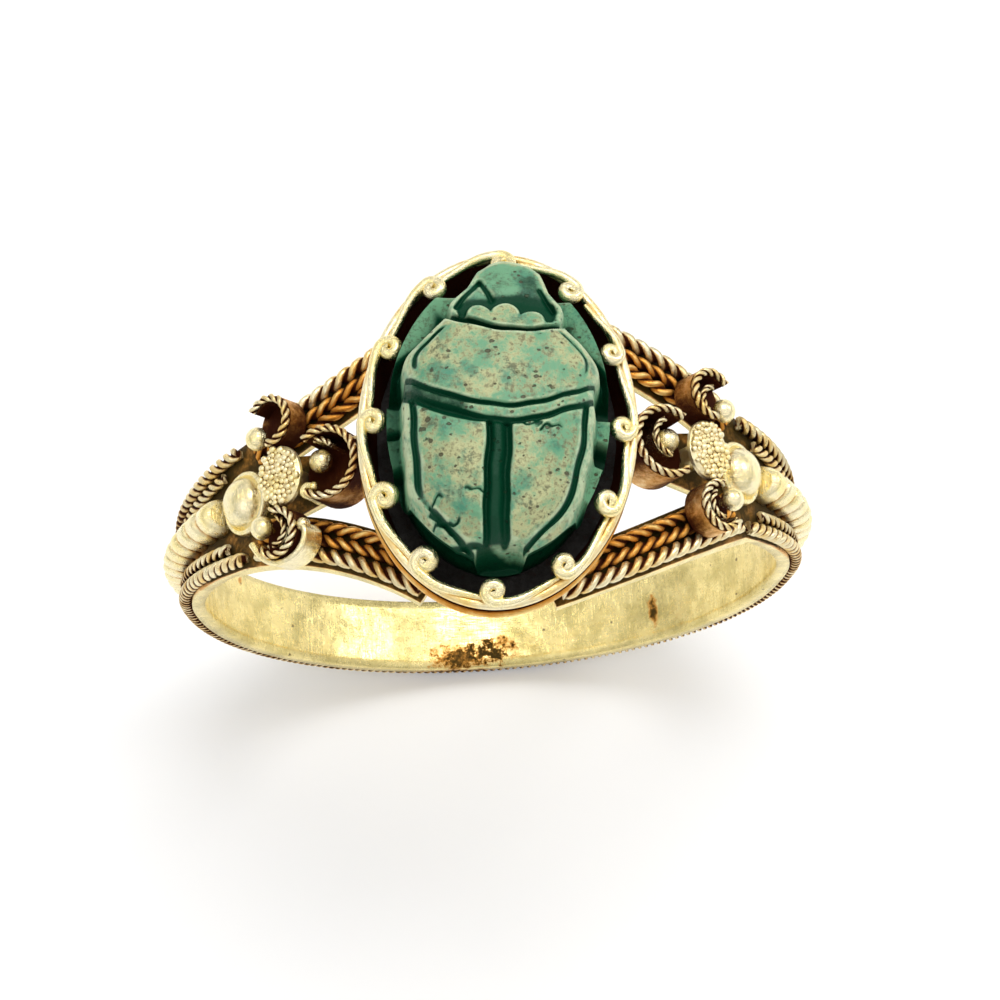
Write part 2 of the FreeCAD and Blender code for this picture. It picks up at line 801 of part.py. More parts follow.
def make_scarab():
    """One stone: base, legs, back with its carved lines, and head."""
    back = stone_stack(dome_shares, scarab_height).common(back_plan())
    for middle_y in (wing_line_middle_y, wing_line_middle_y - scutellum_length):
        reach = scarab_half_width
        back = back.cut(in_skin(arc_strip(reach, middle_y + wing_line_rise, middle_y, groove_width)))
    tail_y = scarab_centre_y - scarab_half_length - cut_overrun
    line_top = wing_line_middle_y - scutellum_length
    for side in (-1, 1):
        corner = FreeCAD.Vector((side * middle_line_gap - groove_width) / 2, tail_y, 0)
        line = Part.makeBox(groove_width, line_top - tail_y, scarab_height + cut_overrun, corner)
        back = back.cut(in_skin(line))
    body = stone_stack(base_shares, base_height).fuse(back)
    for middle_deg, spread_deg in zip(leg_middles_deg, leg_spreads_deg):
        body = body.fuse(wedge(middle_deg, spread_deg, leg_height))
    for middle_deg in (fore_leg_middle_deg, 180 - fore_leg_middle_deg):
        body = body.fuse(wedge(middle_deg, fore_leg_spread_deg, fore_leg_height))
    body = body.fuse(make_head())
    neck = arc_strip(scarab_half_width, neck_middle_y + wing_line_rise, neck_middle_y, neck_gap)
    neck.translate(Z_AXIS * neck_floor_height)
    body = body.cut(neck)
    hole_length = 2 * scarab_half_length + 2 * cut_overrun
    hole_start = FreeCAD.Vector(0, scarab_centre_y - hole_length / 2, string_hole_height)
    hole = Part.makeCylinder(string_hole_diameter / 2, hole_length, hole_start, Y_AXIS)
    body = body.cut(hole).removeSplitter()
    body.translate(Z_AXIS * bed_top)
    return body


def make_bed():
    """The mastic under the stone, inside the collet."""
    return collet_inside(floor_top, bed_top, bed_clearance)


def export(name, solids):
    if not isinstance(solids, list):
        solids = [solids]
    shape = solids[0] if len(solids) == 1 else Part.makeCompound(solids)
    shape.exportStep("parts/" + name + ".step")
    print(name, len(solids), "valid" if shape.isValid() else "NOT VALID", round(shape.Volume, 3))


def trimmed(solid, cutters):
    for cutter in cutters:
        solid = solid.cut(cutter)
    return solid


os.makedirs("parts", exist_ok=True)

collet_floor = collet_place(make_collet_floor())
collet_wall = collet_place(make_collet_wall())
foot_wires = [collet_place(ring) for ring in make_foot_wires()]
collet_solids = [collet_floor, collet_wall] + foot_wires

hoop_band = make_hoop_band()
export("hoop_band", hoop_band)
edge_wire = make_edge_wire()
export("edge_wire_front", edge_wire)
export("edge_wire_back", mirror_y(edge_wire))
inner_wire = make_inner_wire()
export("inner_wire_right_front", inner_wire)
export("inner_wire_right_back", mirror_y(inner_wire))
export("inner_wire_left_front", mirror_x(inner_wire))
export("inner_wire_left_back", mirror_x(mirror_y(inner_wire)))

for name, path in branches.items():
    export("branch_rope_" + name, trimmed(make_branch_rope(path), collet_solids))
    export("branch_braid_" + name, [trimmed(wire, collet_solids) for wire in make_branch_braid(path)])

export("collet_floor", collet_floor)
export("collet_wall", collet_wall)
export("rim_wire", collet_place(make_rim_wire()))
export("foot_wires", foot_wires)
export("claws", [collet_place(claw) for claw in make_claws()])
export("bed", collet_place(make_bed()))
export("scarab", collet_place(make_scarab()))

cup_along = outer_cup_along()
inner_floor = outer_radius + seat_clearance
outer_floor = outer_radius + 2 * flat_height(branch_rope_diameter / 2) + 2 * seat_clearance
inner_cup = make_cup(inner_cup_radius, inner_floor, inner_cup_opening_deg, 0,
                     inner_cup_turn_deg, 0, inner_ball_turn_deg, inner_ball_along)
back_cup = make_cup(outer_cup_radius, outer_floor, outer_cup_opening_deg, -outer_cup_facing_deg,
                    outer_cup_turn_deg, cup_along, outer_ball_turn_deg, outer_ball_along)
inner_rim = make_cup_rim(inner_cup_radius, inner_cup_opening_deg, 0, inner_cup_turn_deg, 0)
back_rim = make_cup_rim(outer_cup_radius, outer_cup_opening_deg, -outer_cup_facing_deg,
                        outer_cup_turn_deg, cup_along)
inner_ball = make_ball(inner_floor, inner_ball_turn_deg, inner_ball_along)
back_ball = make_ball(outer_floor, outer_ball_turn_deg, outer_ball_along)
disc = make_disc()
leaf = make_leaf()
ribs = make_ribs()

for side_name, side, place in (("right", 1, lambda shape: shape), ("left", -1, mirror_x)):
    export("petal_inner_" + side_name, place(inner_cup))
    export("petal_back_" + side_name, place(back_cup))
    export("petal_front_" + side_name, place(mirror_y(back_cup)))
    export("petal_rims_" + side_name, [place(inner_rim), place(back_rim), place(mirror_y(back_rim))])
    export("balls_" + side_name, [place(inner_ball), place(back_ball), place(mirror_y(back_ball))])
    export("disc_" + side_name, place(disc))
    export("leaf_" + side_name, place(leaf))
    export("ribs_" + side_name, place(ribs))
    export("link_" + side_name, trimmed(make_link(side), collet_solids + [place(inner_cup)]))
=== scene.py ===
import json
import math

import bmesh
import bpy
import numpy as np
from bpy.props import FloatProperty, FloatVectorProperty, IntProperty, PointerProperty
from mathutils import Matrix, Vector

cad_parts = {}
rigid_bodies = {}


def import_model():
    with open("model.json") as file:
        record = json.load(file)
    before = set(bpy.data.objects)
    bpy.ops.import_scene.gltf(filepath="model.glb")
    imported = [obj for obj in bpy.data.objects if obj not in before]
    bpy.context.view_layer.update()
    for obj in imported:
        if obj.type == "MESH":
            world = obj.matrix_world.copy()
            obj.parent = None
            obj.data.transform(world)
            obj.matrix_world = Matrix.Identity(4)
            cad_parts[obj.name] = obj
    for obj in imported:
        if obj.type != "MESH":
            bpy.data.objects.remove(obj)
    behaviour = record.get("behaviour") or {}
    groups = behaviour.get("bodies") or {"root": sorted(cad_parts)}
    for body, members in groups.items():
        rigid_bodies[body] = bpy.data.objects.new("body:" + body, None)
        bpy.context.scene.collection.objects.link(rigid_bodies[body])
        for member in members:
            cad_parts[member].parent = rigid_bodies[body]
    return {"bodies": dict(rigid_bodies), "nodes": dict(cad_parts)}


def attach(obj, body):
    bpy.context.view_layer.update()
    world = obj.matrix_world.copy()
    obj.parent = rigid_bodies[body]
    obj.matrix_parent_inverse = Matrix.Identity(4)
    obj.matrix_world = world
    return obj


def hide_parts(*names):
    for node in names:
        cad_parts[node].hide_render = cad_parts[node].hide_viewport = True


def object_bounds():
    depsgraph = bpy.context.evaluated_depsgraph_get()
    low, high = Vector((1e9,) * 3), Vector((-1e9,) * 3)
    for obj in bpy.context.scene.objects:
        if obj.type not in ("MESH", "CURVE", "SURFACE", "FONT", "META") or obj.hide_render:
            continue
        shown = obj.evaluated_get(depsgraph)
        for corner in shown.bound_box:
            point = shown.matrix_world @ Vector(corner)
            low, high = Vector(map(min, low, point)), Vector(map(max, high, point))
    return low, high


bl_info = {
    "name": "Scarab ring dresser",
    "version": (1, 0, 0),
    "blender": (4, 5, 0),
    "location": "3D View > Sidebar > Scarab Ring",
    "description": "Dresses the packed frame of a gold ring with a glazed scarab",
    "category": "Object",
}

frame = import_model()
cad_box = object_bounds()
ring_body = sorted(frame["bodies"])[0]

MM = 0.001
COLLET_TURN = math.radians(-6.375)
SIDES = (("left", -1), ("right", 1))
ENDS = (("front", -1), ("back", 1))
GAP = 0.015 * MM  # room under a piece that lies on the hoop
WIRE_SEAT = 0.47  # height of a wire's middle above its ground, as a share of its diameter
FLATS = 0.866  # across the flats of the solids' six-sided wires, as a share of the diameter
PETAL_FLOOR = 0.16 * MM  # thickness of a petal's floor
WHITE, BLACK = (1, 1, 1, 1), (0, 0, 0, 1)


def length(name, description, millimetres):
    return FloatProperty(
        name=name,
        description=description,
        default=millimetres * MM,
        precision=6,
        unit="LENGTH",
        subtype="DISTANCE",
    )


def degrees(name, description, value):
    return FloatProperty(
        name=name,
        description=description,
        default=math.radians(value),
        unit="ROTATION",
        subtype="ANGLE",
    )


def share(name, description, value):
    return FloatProperty(name=name, description=description, default=value, subtype="FACTOR")


def count(name, description, value):
    return IntProperty(name=name, description=description, default=value, min=1)


def colour(name, description, value):
    return FloatVectorProperty(
        name=name,
        description=description,
        default=value,
        size=4,
        min=0.0,
        max=1.0,
        subtype="COLOR",
    )


class HoopSizes(bpy.types.PropertyGroup):
    finger_radius: length("Finger radius", "Inner radius of the hoop", 8.75)
    outer_radius: length("Outer radius", "Outer radius of the hoop's sheet", 9.15)
    band_width: length("Band width", "Width of the plain part", 2.28)
    shoulder_width: length("Shoulder width", "Width where the hoop forks", 3.80)
    taper_start: degrees("Taper start", "Turn at which the hoop begins to widen", 99.0)
    shoulder_turn: degrees("Shoulder turn", "Turn at which the hoop forks", 50.0)
    taper_power: share("Taper power", "How late the widening comes", 1.25)
    edge_wire_start: degrees("Edge wire start", "Turn where the edge wires begin", 52.5)
    inner_wire_start: degrees("Inner wire start", "Turn where the second wires begin", 57.5)
    inner_wire_end: degrees("Inner wire end", "Turn where the second wires end", 118.0)
    branch_width: length("Arm width", "Width of a forked arm", 1.36)
    branch_foot_x: length("Arm foot across", "Where an arm meets the collet, across", 1.60)
    branch_foot_y: length("Arm foot along", "Where an arm meets the collet, along", 3.92)
    bow_left: length("Bow left", "Bow of the left arms", -0.26)
    bow_right: length("Bow right", "Bow of the right arms", 0.20)


class WireSizes(bpy.types.PropertyGroup):
    edge_diameter: length("Edge wire", "Diameter of the twisted edge wire", 0.43)
    edge_pitch: length("Edge wire pitch", "Length of one full twist, plain part", 0.48)
    shoulder_pitch: length("Shoulder pitch", "Length of one full twist, on the shoulders", 0.80)
    shoulder_pitch_end: degrees("Shoulder pitch end", "Turn up to which the twist is slack", 70.0)
    edge_pitch_start: degrees("Edge pitch start", "Turn from which the twist is tight", 112.0)
    edge_room: length("Edge wire room", "Width kept for the edge wire", 0.445)
    edge_seat: length("Edge wire seat", "Height of its middle above the sheet", 0.182)
    inner_diameter: length("Second wire", "Diameter of the wire beside it", 0.34)
    inner_pitch: length("Second wire pitch", "Length of one full twist", 0.54)
    rope_diameter: length("Arm rope", "Diameter of the coarse rope on an arm", 0.47)
    rope_pitch: length("Arm rope pitch", "Length of one full twist", 0.96)
    braid_diameter: length("Braid wire", "Diameter of each braid wire", 0.38)
    braid_pitch: length("Braid pitch", "Length of one full twist", 0.98)
    rim_diameter: length("Petal wire", "Diameter of the twisted wire on a petal", 0.25)
    rim_pitch: length("Petal wire pitch", "Length of one full twist", 0.58)
    valley: share("Valley", "Size of the valley between strands", 0.30)
    samples: count("Samples", "Stations along one full twist", 14)


class ColletSizes(bpy.types.PropertyGroup):
    rim_half_width: length("Rim half width", "Half the rim's width", 3.973)
    rim_half_length: length("Rim half length", "Half the rim's length", 5.336)
    rim_height: length("Rim height", "Height of the rim wire's middle", 10.93)
    rim_wire: length("Rim wire", "Diameter of the rim wire", 0.34)
    floor_height: length("Floor height", "Underside of the collet", 9.30)
    floor_thickness: length("Floor thickness", "Thickness of the collet's floor", 0.28)
    wall_thickness: length("Wall thickness", "Thickness of the collet's wall", 0.26)
    foot_share: share("Foot share", "The foot's size as a share of the rim's", 0.885)
    foot_wire: length("Foot wire", "Diameter of the wires round the foot", 0.24)
    foot_wires: count("Foot wires", "How many wires lie round the foot", 3)
    sides: count("Sides", "How finely the ovals are drawn", 160)


class ClawSizes(bpy.types.PropertyGroup):
    wire: length("Claw wire", "Diameter of a claw's wire", 0.36)
    outer_bend: length("Outer bend", "Radius at which the scroll begins", 0.335)
    inner_bend: length("Inner bend", "Radius at which the scroll ends", 0.06)
    stem: length("Stem", "Length of the stem along the rim", 2.20)
    tilt: degrees("Tilt", "How far a scroll rises from level", 17.0)
    curl: degrees("Curl", "How far a scroll rolls up", 430.0)


class RosetteSizes(bpy.types.PropertyGroup):
    disc_turn: degrees("Disc turn", "Turn of the granulated disc", 37.3)
    disc_half_length: length("Disc half length", "Half the disc's length", 0.90)
    disc_half_width: length("Disc half width", "Half the disc's width", 0.72)
    disc_top: length("Disc top", "Radius of the disc's face from the hoop's axis", 10.42)
    disc_thickness: length("Disc thickness", "Thickness of the disc", 0.34)
    granule: length("Granule", "Diameter of a granule", 0.20)
    granule_gap: length("Granule gap", "Least distance between granules", 0.145)
    petal_top: length("Petal top", "Radius of the petals' edges from the axis", 10.30)
    petal_wall: length("Petal wall", "Thickness of a petal's strip", 0.17)
    inner_turn: degrees("Inner petal turn", "Turn of the inner petal", 28.3)
    inner_radius: length("Inner petal radius", "Radius of the inner petal", 1.08)
    inner_opening: degrees("Inner opening", "Opening of the inner petal", 104.0)
    outer_turn: degrees("Outer petal turn", "Turn of the outer petals", 38.3)
    outer_radius: length("Outer petal radius", "Radius of the outer petals", 0.76)
    outer_opening: degrees("Outer opening", "Opening of the outer petals", 116.0)
    outer_facing: degrees("Outer facing", "Direction of the opening", 24.0)
    outer_along: length("Outer petal place", "Distance of the outer petals along Y", 1.70)
    ball: length("Ball", "Diameter of a petal's ball", 0.70)
    inner_ball_turn: degrees("Inner ball turn", "Turn of the inner ball", 30.8)
    inner_ball_along: length("Inner ball place", "Place of the inner ball along Y", 0.28)
    outer_ball_turn: degrees("Outer ball turn", "Turn of the outer balls", 41.9)
    outer_ball_along: length("Outer ball place", "Place of the outer balls along Y", 1.36)
    leaf_turn: degrees("Leaf turn", "Turn of the smooth outer leaf", 51.0)
    leaf_radius: length("Leaf radius", "Radius of the leaf's plate", 0.96)
    leaf_plate: length("Leaf plate", "Thickness of the leaf's plate", 0.26)
    dome_radius: length("Dome radius", "Radius of the leaf's dome", 0.74)
    dome_height: length("Dome height", "Height of the leaf's dome", 0.50)
    rib_count: count("Ribs", "Ribs on each shoulder", 10)
    rib_first_turn: degrees("First rib", "Turn where the ribs begin", 58.0)
    rib_last_turn: degrees("Last rib", "Turn where the ribs end", 104.006)
    rib_first_width: length("First rib half width", "Half width of the first rib", 0.58)
    rib_last_width: length("Last rib half width", "Half width of the last rib", 0.24)
    rib_first_height: length("First rib height", "Height of the first rib", 0.845)
    rib_last_height: length("Last rib height", "Height of the last rib", 0.785)
    rib_valley: share("Rib valley", "Size between two ribs as a share", 0.76)
    strip_wall: length("Inner strip", "Thickness of the strips inside the petals", 0.11)
    strip_bead: length("Inner bead", "Diameter of the wire on an inner strip", 0.19)
    strip_sink: length("Inner sink", "How far an inner strip lies below the petal", 0.16)


class StoneSizes(bpy.types.PropertyGroup):
    half_width: length("Half width", "Half the stone's width", 3.07)
    half_length: length("Half length", "Half the stone's length", 4.30)
    centre_y: length("Centre", "Middle of the stone along the collet", 0.08)
    base: length("Base", "Height of the stone's underside", 9.93)


class FinishColours(bpy.types.PropertyGroup):
    gold: colour("Gold", "Clean gold", (0.93, 0.66, 0.24, 1))
    bright_gold: colour("Bright gold", "Rubbed gold on the high places", (1.0, 0.89, 0.57, 1))
    band_gold: colour("Band gold", "Plain sheet inside the hoop", (1.0, 0.84, 0.38, 1))
    band_shade: colour("Band shade", "Dull places on the plain sheet", (0.72, 0.60, 0.24, 1))
    ochre: colour("Ochre film", "Thin tarnish", (0.76, 0.34, 0.055, 1))
    # Umber also paints shade into the recesses of most golds.
    umber: colour("Umber", "Old dirt in the recesses", (0.050, 0.009, 0.002, 1))
    # Olive also paints the shade and the reflection of the collet on the hoop's sheet.
    olive: colour("Olive", "Dark green-brown stains inside the hoop", (0.060, 0.036, 0.006, 1))
    buff: colour("Buff glaze", "Worn glaze on the high places", (0.49, 0.50, 0.25, 1))
    pale: colour("Pale glaze", "Rubbed edges of the carving", (0.49, 0.61, 0.37, 1))
    green: colour("Green glaze", "The glaze's body colour", (0.14, 0.34, 0.185, 1))
    # Teal is also painted as shade over the low ground, the stone's sides and the head's right half.
    teal: colour("Teal glaze", "Glaze gathered in the lines", (0.001, 0.044, 0.018, 1))
    stain: colour("Teal stains", "Stains in the worn glaze", (0.035, 0.22, 0.14, 1))
    pit: colour("Pits", "Brown earth in the pits", (0.060, 0.050, 0.020, 1))
    resin: colour("Resin", "Dark resin under the stone", (0.006, 0.003, 0.001, 1))


SIZE_GROUPS = (
    ("ring_hoop", HoopSizes, "Hoop"),
    ("ring_wires", WireSizes, "Wires"),
    ("ring_collet", ColletSizes, "Collet"),
    ("ring_claws", ClawSizes, "Claws"),
    ("ring_rosette", RosetteSizes, "Rosettes"),
    ("ring_stone", StoneSizes, "Stone"),
    ("ring_finish", FinishColours, "Finishes"),
)


# Node trees


ACROSS = (1.0, 0.0, 1.0)  # leaves out the part of a place that lies along the hoop's axis


def add(tree, kind, inputs=(), **settings):
    """Adds one node; inputs pairs a socket's name or number with a value or an output."""
    node = tree.nodes.new(kind)
    for name, value in settings.items():
        setattr(node, name, value)
    for key, value in dict(inputs).items():
        socket = node.inputs[key]
        if isinstance(value, bpy.types.NodeSocket):
            tree.links.new(value, socket)
        else:
            socket.default_value = value
    return node


def maths(tree, operation, first, second=0.0, third=0.0):
    inputs = {0: first, 1: second, 2: third}
    return add(tree, "ShaderNodeMath", inputs, operation=operation).outputs[0]


def vector(tree, operation, first, second=(0.0, 0.0, 0.0)):
    return add(tree, "ShaderNodeVectorMath", {0: first, 1: second}, operation=operation).outputs[0]


def vector_length(tree, value):
    return add(tree, "ShaderNodeVectorMath", {0: value}, operation="LENGTH").outputs["Value"]


def ramp(tree, value, low, high, to_low=0.0, to_high=1.0):
    """A smooth step of a value between low and high."""
    inputs = {"Value": value, "From Min": low, "From Max": high, "To Min": to_low, "To Max": to_high}
    node = add(tree, "ShaderNodeMapRange", inputs, interpolation_type="SMOOTHSTEP")
    return node.outputs["Result"]


def blend_colours(tree, factor, first, second):
    node = add(tree, "ShaderNodeMix", {"Factor": factor}, data_type="RGBA")
    for key, value in ((6, first), (7, second)):
        if isinstance(value, bpy.types.NodeSocket):
            tree.links.new(value, node.inputs[key])
        else:
            node.inputs[key].default_value = value
    return node.outputs[2]


def noise(tree, vector, scale, detail, roughness=0.6):
    inputs = {"Vector": vector, "Scale": scale, "Detail": detail, "Roughness": roughness}
    return add(tree, "ShaderNodeTexNoise", inputs).outputs["Fac"]


def new_group(name, kind, inputs, outputs):
    """A node group; an input is (name, kind, default), an output (name, kind)."""
    tree = bpy.data.node_groups.new(name, kind + "NodeTree")
    for socket, socket_kind, default in inputs:
        socket = tree.interface.new_socket(socket, in_out="INPUT",
                                           socket_type="NodeSocket" + socket_kind)
        if default is not None:
            socket.default_value = default
    for socket, socket_kind in outputs:
        tree.interface.new_socket(socket, in_out="OUTPUT", socket_type="NodeSocket" + socket_kind)
    return tree, tree.nodes.new("NodeGroupInput").outputs, tree.nodes.new("NodeGroupOutput").inputs


def deliver(tree, made, values):
    for name, value in values.items():
        tree.links.new(value, made[name])


def tarnish_group():
    """Tarnish in recesses: old grime and painted shade darken them, and a film covers the metal between
    them.
    """
    tree, given, made = new_group(
        "Recess tarnish and shade",
        "Shader",
        [
            ("Position", "Vector", None),
            ("Recess", "Float", 0.0),
            ("Film", "Float", 0.4),
            ("Dirt and shade", "Float", 0.6),
            ("Bright", "Color", WHITE),
            ("Clean", "Color", WHITE),
            ("Film colour", "Color", WHITE),
            ("Dirt colour", "Color", BLACK),
        ],
        [
            ("Colour", "Color"),
            ("Film mask", "Float"),
            ("Dirt mask", "Float"),
        ],
    )
    place = given["Position"]
    broad = maths(tree, "SUBTRACT", noise(tree, place, 1.1, 5.0, 0.65), 0.5)
    fine = maths(tree, "SUBTRACT", noise(tree, place, 7.0, 3.0, 0.7), 0.5)
    ragged = maths(tree, "MULTIPLY_ADD", broad, 0.55, given["Recess"])
    ragged = maths(tree, "MULTIPLY_ADD", fine, 0.35, ragged)
    film_edge = maths(tree, "SUBTRACT", 1.0, given["Film"])
    dirt_and_shade_edge = maths(tree, "SUBTRACT", 1.0, given["Dirt and shade"])
    film = ramp(tree, ragged, maths(tree, "SUBTRACT", film_edge, 0.28), maths(tree, "ADD", film_edge, 0.16))
    dirt_and_shade = ramp(tree, ragged, maths(tree, "SUBTRACT", dirt_and_shade_edge, 0.12), maths(tree, "ADD", dirt_and_shade_edge, 0.18))
    rubbed = ramp(tree, broad, -0.12, 0.16)
    metal = blend_colours(tree, rubbed, given["Bright"], given["Clean"])
    filmed = blend_colours(tree, film, metal, given["Film colour"])
    final = blend_colours(tree, dirt_and_shade, filmed, given["Dirt colour"])
    deliver(tree, made, {"Colour": final, "Film mask": film, "Dirt mask": dirt_and_shade})


def handling_group():
    """Scratches, dents and fine pits of a soft metal that has been worn for long."""
    tree, given, made = new_group(
        "Handling marks",
        "Shader",
        [
            ("Position", "Vector", None),
            ("Dents", "Float", 1.0),
            ("Scratches", "Float", 1.0),
            ("Pits", "Float", 1.0),
        ],
        [("Height", "Float"), ("Haze", "Float"), ("Pit mask", "Float")],
    )
    place = given["Position"]
    dents = maths(tree, "MULTIPLY", noise(tree, place, 0.9, 2.0, 0.5), given["Dents"])
    height = dents
    haze = noise(tree, place, 2.6, 6.0, 0.7)
    for turn, scale in ((0.5, (0.7, 16.0, 16.0)), (-0.9, (13.0, 0.9, 13.0))):
        mapping = add(tree, "ShaderNodeMapping",
                      {"Vector": place, "Rotation": (0.3, turn, turn), "Scale": scale})
        lines = noise(tree, mapping.outputs[0], 1.0, 2.0, 0.5)
        lines = maths(tree, "ABSOLUTE", maths(tree, "SUBTRACT", lines, 0.5))
        lines = ramp(tree, lines, 0.0, 0.035, -0.10, 0.0)
        height = maths(tree, "MULTIPLY_ADD", lines, given["Scratches"], height)
    cells = add(tree, "ShaderNodeTexVoronoi", {"Vector": place, "Scale": 2.6, "Randomness": 1.0})
    size = ramp(tree, noise(tree, place, 1.7, 2.0), 0.52, 0.72, 0.02, 0.16)
    pits = ramp(tree, maths(tree, "SUBTRACT", cells.outputs["Distance"], size), -0.03, 0.03, 1.0, 0.0)
    pits = maths(tree, "MULTIPLY", pits, given["Pits"])
    height = maths(tree, "MULTIPLY_ADD", pits, -0.5, height)
    deliver(tree, made, {"Height": height, "Haze": haze, "Pit mask": pits})


def glaze_group():
    """Worn glaze: buff on the high places, green between, teal where it gathers; its low-ground and line
    masks also carry painted shade.
    """
    tree, given, made = new_group(
        "Worn glaze",
        "Shader",
        [
            ("Position", "Vector", None),
            ("Carved and shaded", "Float", 0.0),
            ("Sunken shade", "Float", 0.0),
            ("Edge", "Float", 0.0),
            ("Buff", "Color", WHITE),
            ("Pale", "Color", WHITE),
            ("Green", "Color", WHITE),
            ("Teal", "Color", WHITE),
            ("Stain", "Color", WHITE),
            ("Pit colour", "Color", BLACK),
        ],
        [("Colour", "Color"), ("Height", "Float"), ("Worn", "Float")],
    )
    place = given["Position"]
    cloud = noise(tree, place, 0.50, 5.0, 0.60)
    mottle = noise(tree, place, 2.2, 5.0, 0.70)
    speck = noise(tree, place, 8.0, 4.0, 0.75)
    wear = maths(tree, "MULTIPLY_ADD", mottle, 0.75, cloud)
    wear = maths(tree, "MULTIPLY_ADD", speck, 0.35, wear)
    wear = maths(tree, "MULTIPLY_ADD", given["Sunken shade"], -0.75, wear)
    wear = maths(tree, "MULTIPLY_ADD", given["Carved and shaded"], -0.8, wear)
    worn = ramp(tree, wear, 0.92, 1.16)
    base = blend_colours(tree, worn, given["Green"], given["Buff"])
    drift = add(tree, "ShaderNodeMapping", {"Vector": place, "Location": (7.3, 2.1, 4.4)}).outputs[0]
    stains = maths(tree, "MULTIPLY_ADD", speck, 0.25, noise(tree, drift, 1.25, 5.0, 0.65))
    stains = ramp(tree, stains, 0.62, 0.80, 0.0, 0.72)
    base = blend_colours(tree, stains, base, given["Stain"])
    grime = ramp(tree, maths(tree, "MULTIPLY_ADD", mottle, 0.7, speck), 0.80, 1.05, 0.0, 0.70)
    base = blend_colours(tree, grime, base, given["Pit colour"])
    rubbed = maths(tree, "MULTIPLY", given["Edge"], ramp(tree, mottle, 0.40, 0.60, 0.15, 0.85))
    base = blend_colours(tree, rubbed, base, given["Pale"])
    gathered = maths(tree, "MULTIPLY_ADD", maths(tree, "SUBTRACT", mottle, 0.5), 0.6, given["Carved and shaded"])
    base = blend_colours(tree, ramp(tree, gathered, 0.14, 0.52), base, given["Teal"])
    ragged = maths(tree, "MULTIPLY", maths(tree, "SUBTRACT", speck, 0.5), 0.55)
    pits = None
    for scale, low, high in ((1.5, 0.46, 0.24), (3.1, 0.38, 0.26)):
        mapping = add(tree, "ShaderNodeMapping", {"Vector": place, "Scale": (1.0, 1.5, 1.0)})
        cells = add(tree, "ShaderNodeTexVoronoi",
                    {"Vector": mapping.outputs[0], "Scale": scale, "Randomness": 1.0})
        size = ramp(tree, noise(tree, drift, scale * 0.8, 2.0), low, 0.68, -0.05, high)
        away = maths(tree, "SUBTRACT", maths(tree, "ADD", ragged, cells.outputs["Distance"]), size)
        found = ramp(tree, away, -0.05, 0.04, 1.0, 0.0)
        pits = found if pits is None else maths(tree, "MAXIMUM", pits, found)
    open_ground = ramp(tree, given["Carved and shaded"], 0.2, 0.6, 0.90, 0.15)
    final = blend_colours(tree, maths(tree, "MULTIPLY", pits, open_ground), base, given["Pit colour"])
    height = maths(tree, "MULTIPLY_ADD", mottle, 0.5, maths(tree, "MULTIPLY", speck, 0.3))
    height = maths(tree, "MULTIPLY_ADD", pits, -0.7, height)
    deliver(tree, made, {"Colour": final, "Height": height, "Worn": worn})


def start_material(name):
    """A new material's tree, and the place on the piece in millimetres."""
    material = bpy.data.materials.new(name)
    material.use_nodes = True
    tree = material.node_tree
    tree.nodes.clear()
    coordinates = add(tree, "ShaderNodeTexCoord")
    return tree, vector(tree, "MULTIPLY", coordinates.outputs["Object"], (1 / MM,) * 3)


def finish_material(tree, inputs, height, bump, strength):
    """Bump and Principled shader; the plain numbers sit on the shader's own sockets."""
    relief = add(tree, "ShaderNodeBump", {"Height": height, "Distance": bump, "Strength": strength})
    shader = add(tree, "ShaderNodeBsdfPrincipled", dict(inputs, Normal=relief.outputs["Normal"]))
    output = tree.nodes.new("ShaderNodeOutputMaterial")
    tree.links.new(shader.outputs[0], output.inputs["Surface"])


def attribute(tree, name):
    return add(tree, "ShaderNodeAttribute", attribute_name=name).outputs["Fac"]


def shading(tree, reach):
    """How closed-in a place is, from 0 in the open to 1 in a deep recess; the materials paint shade into
    their colours from it.
    """
    node = add(tree, "ShaderNodeAmbientOcclusion", {"Distance": reach}, samples=8)
    return maths(tree, "SUBTRACT", 1.0, node.outputs["AO"])


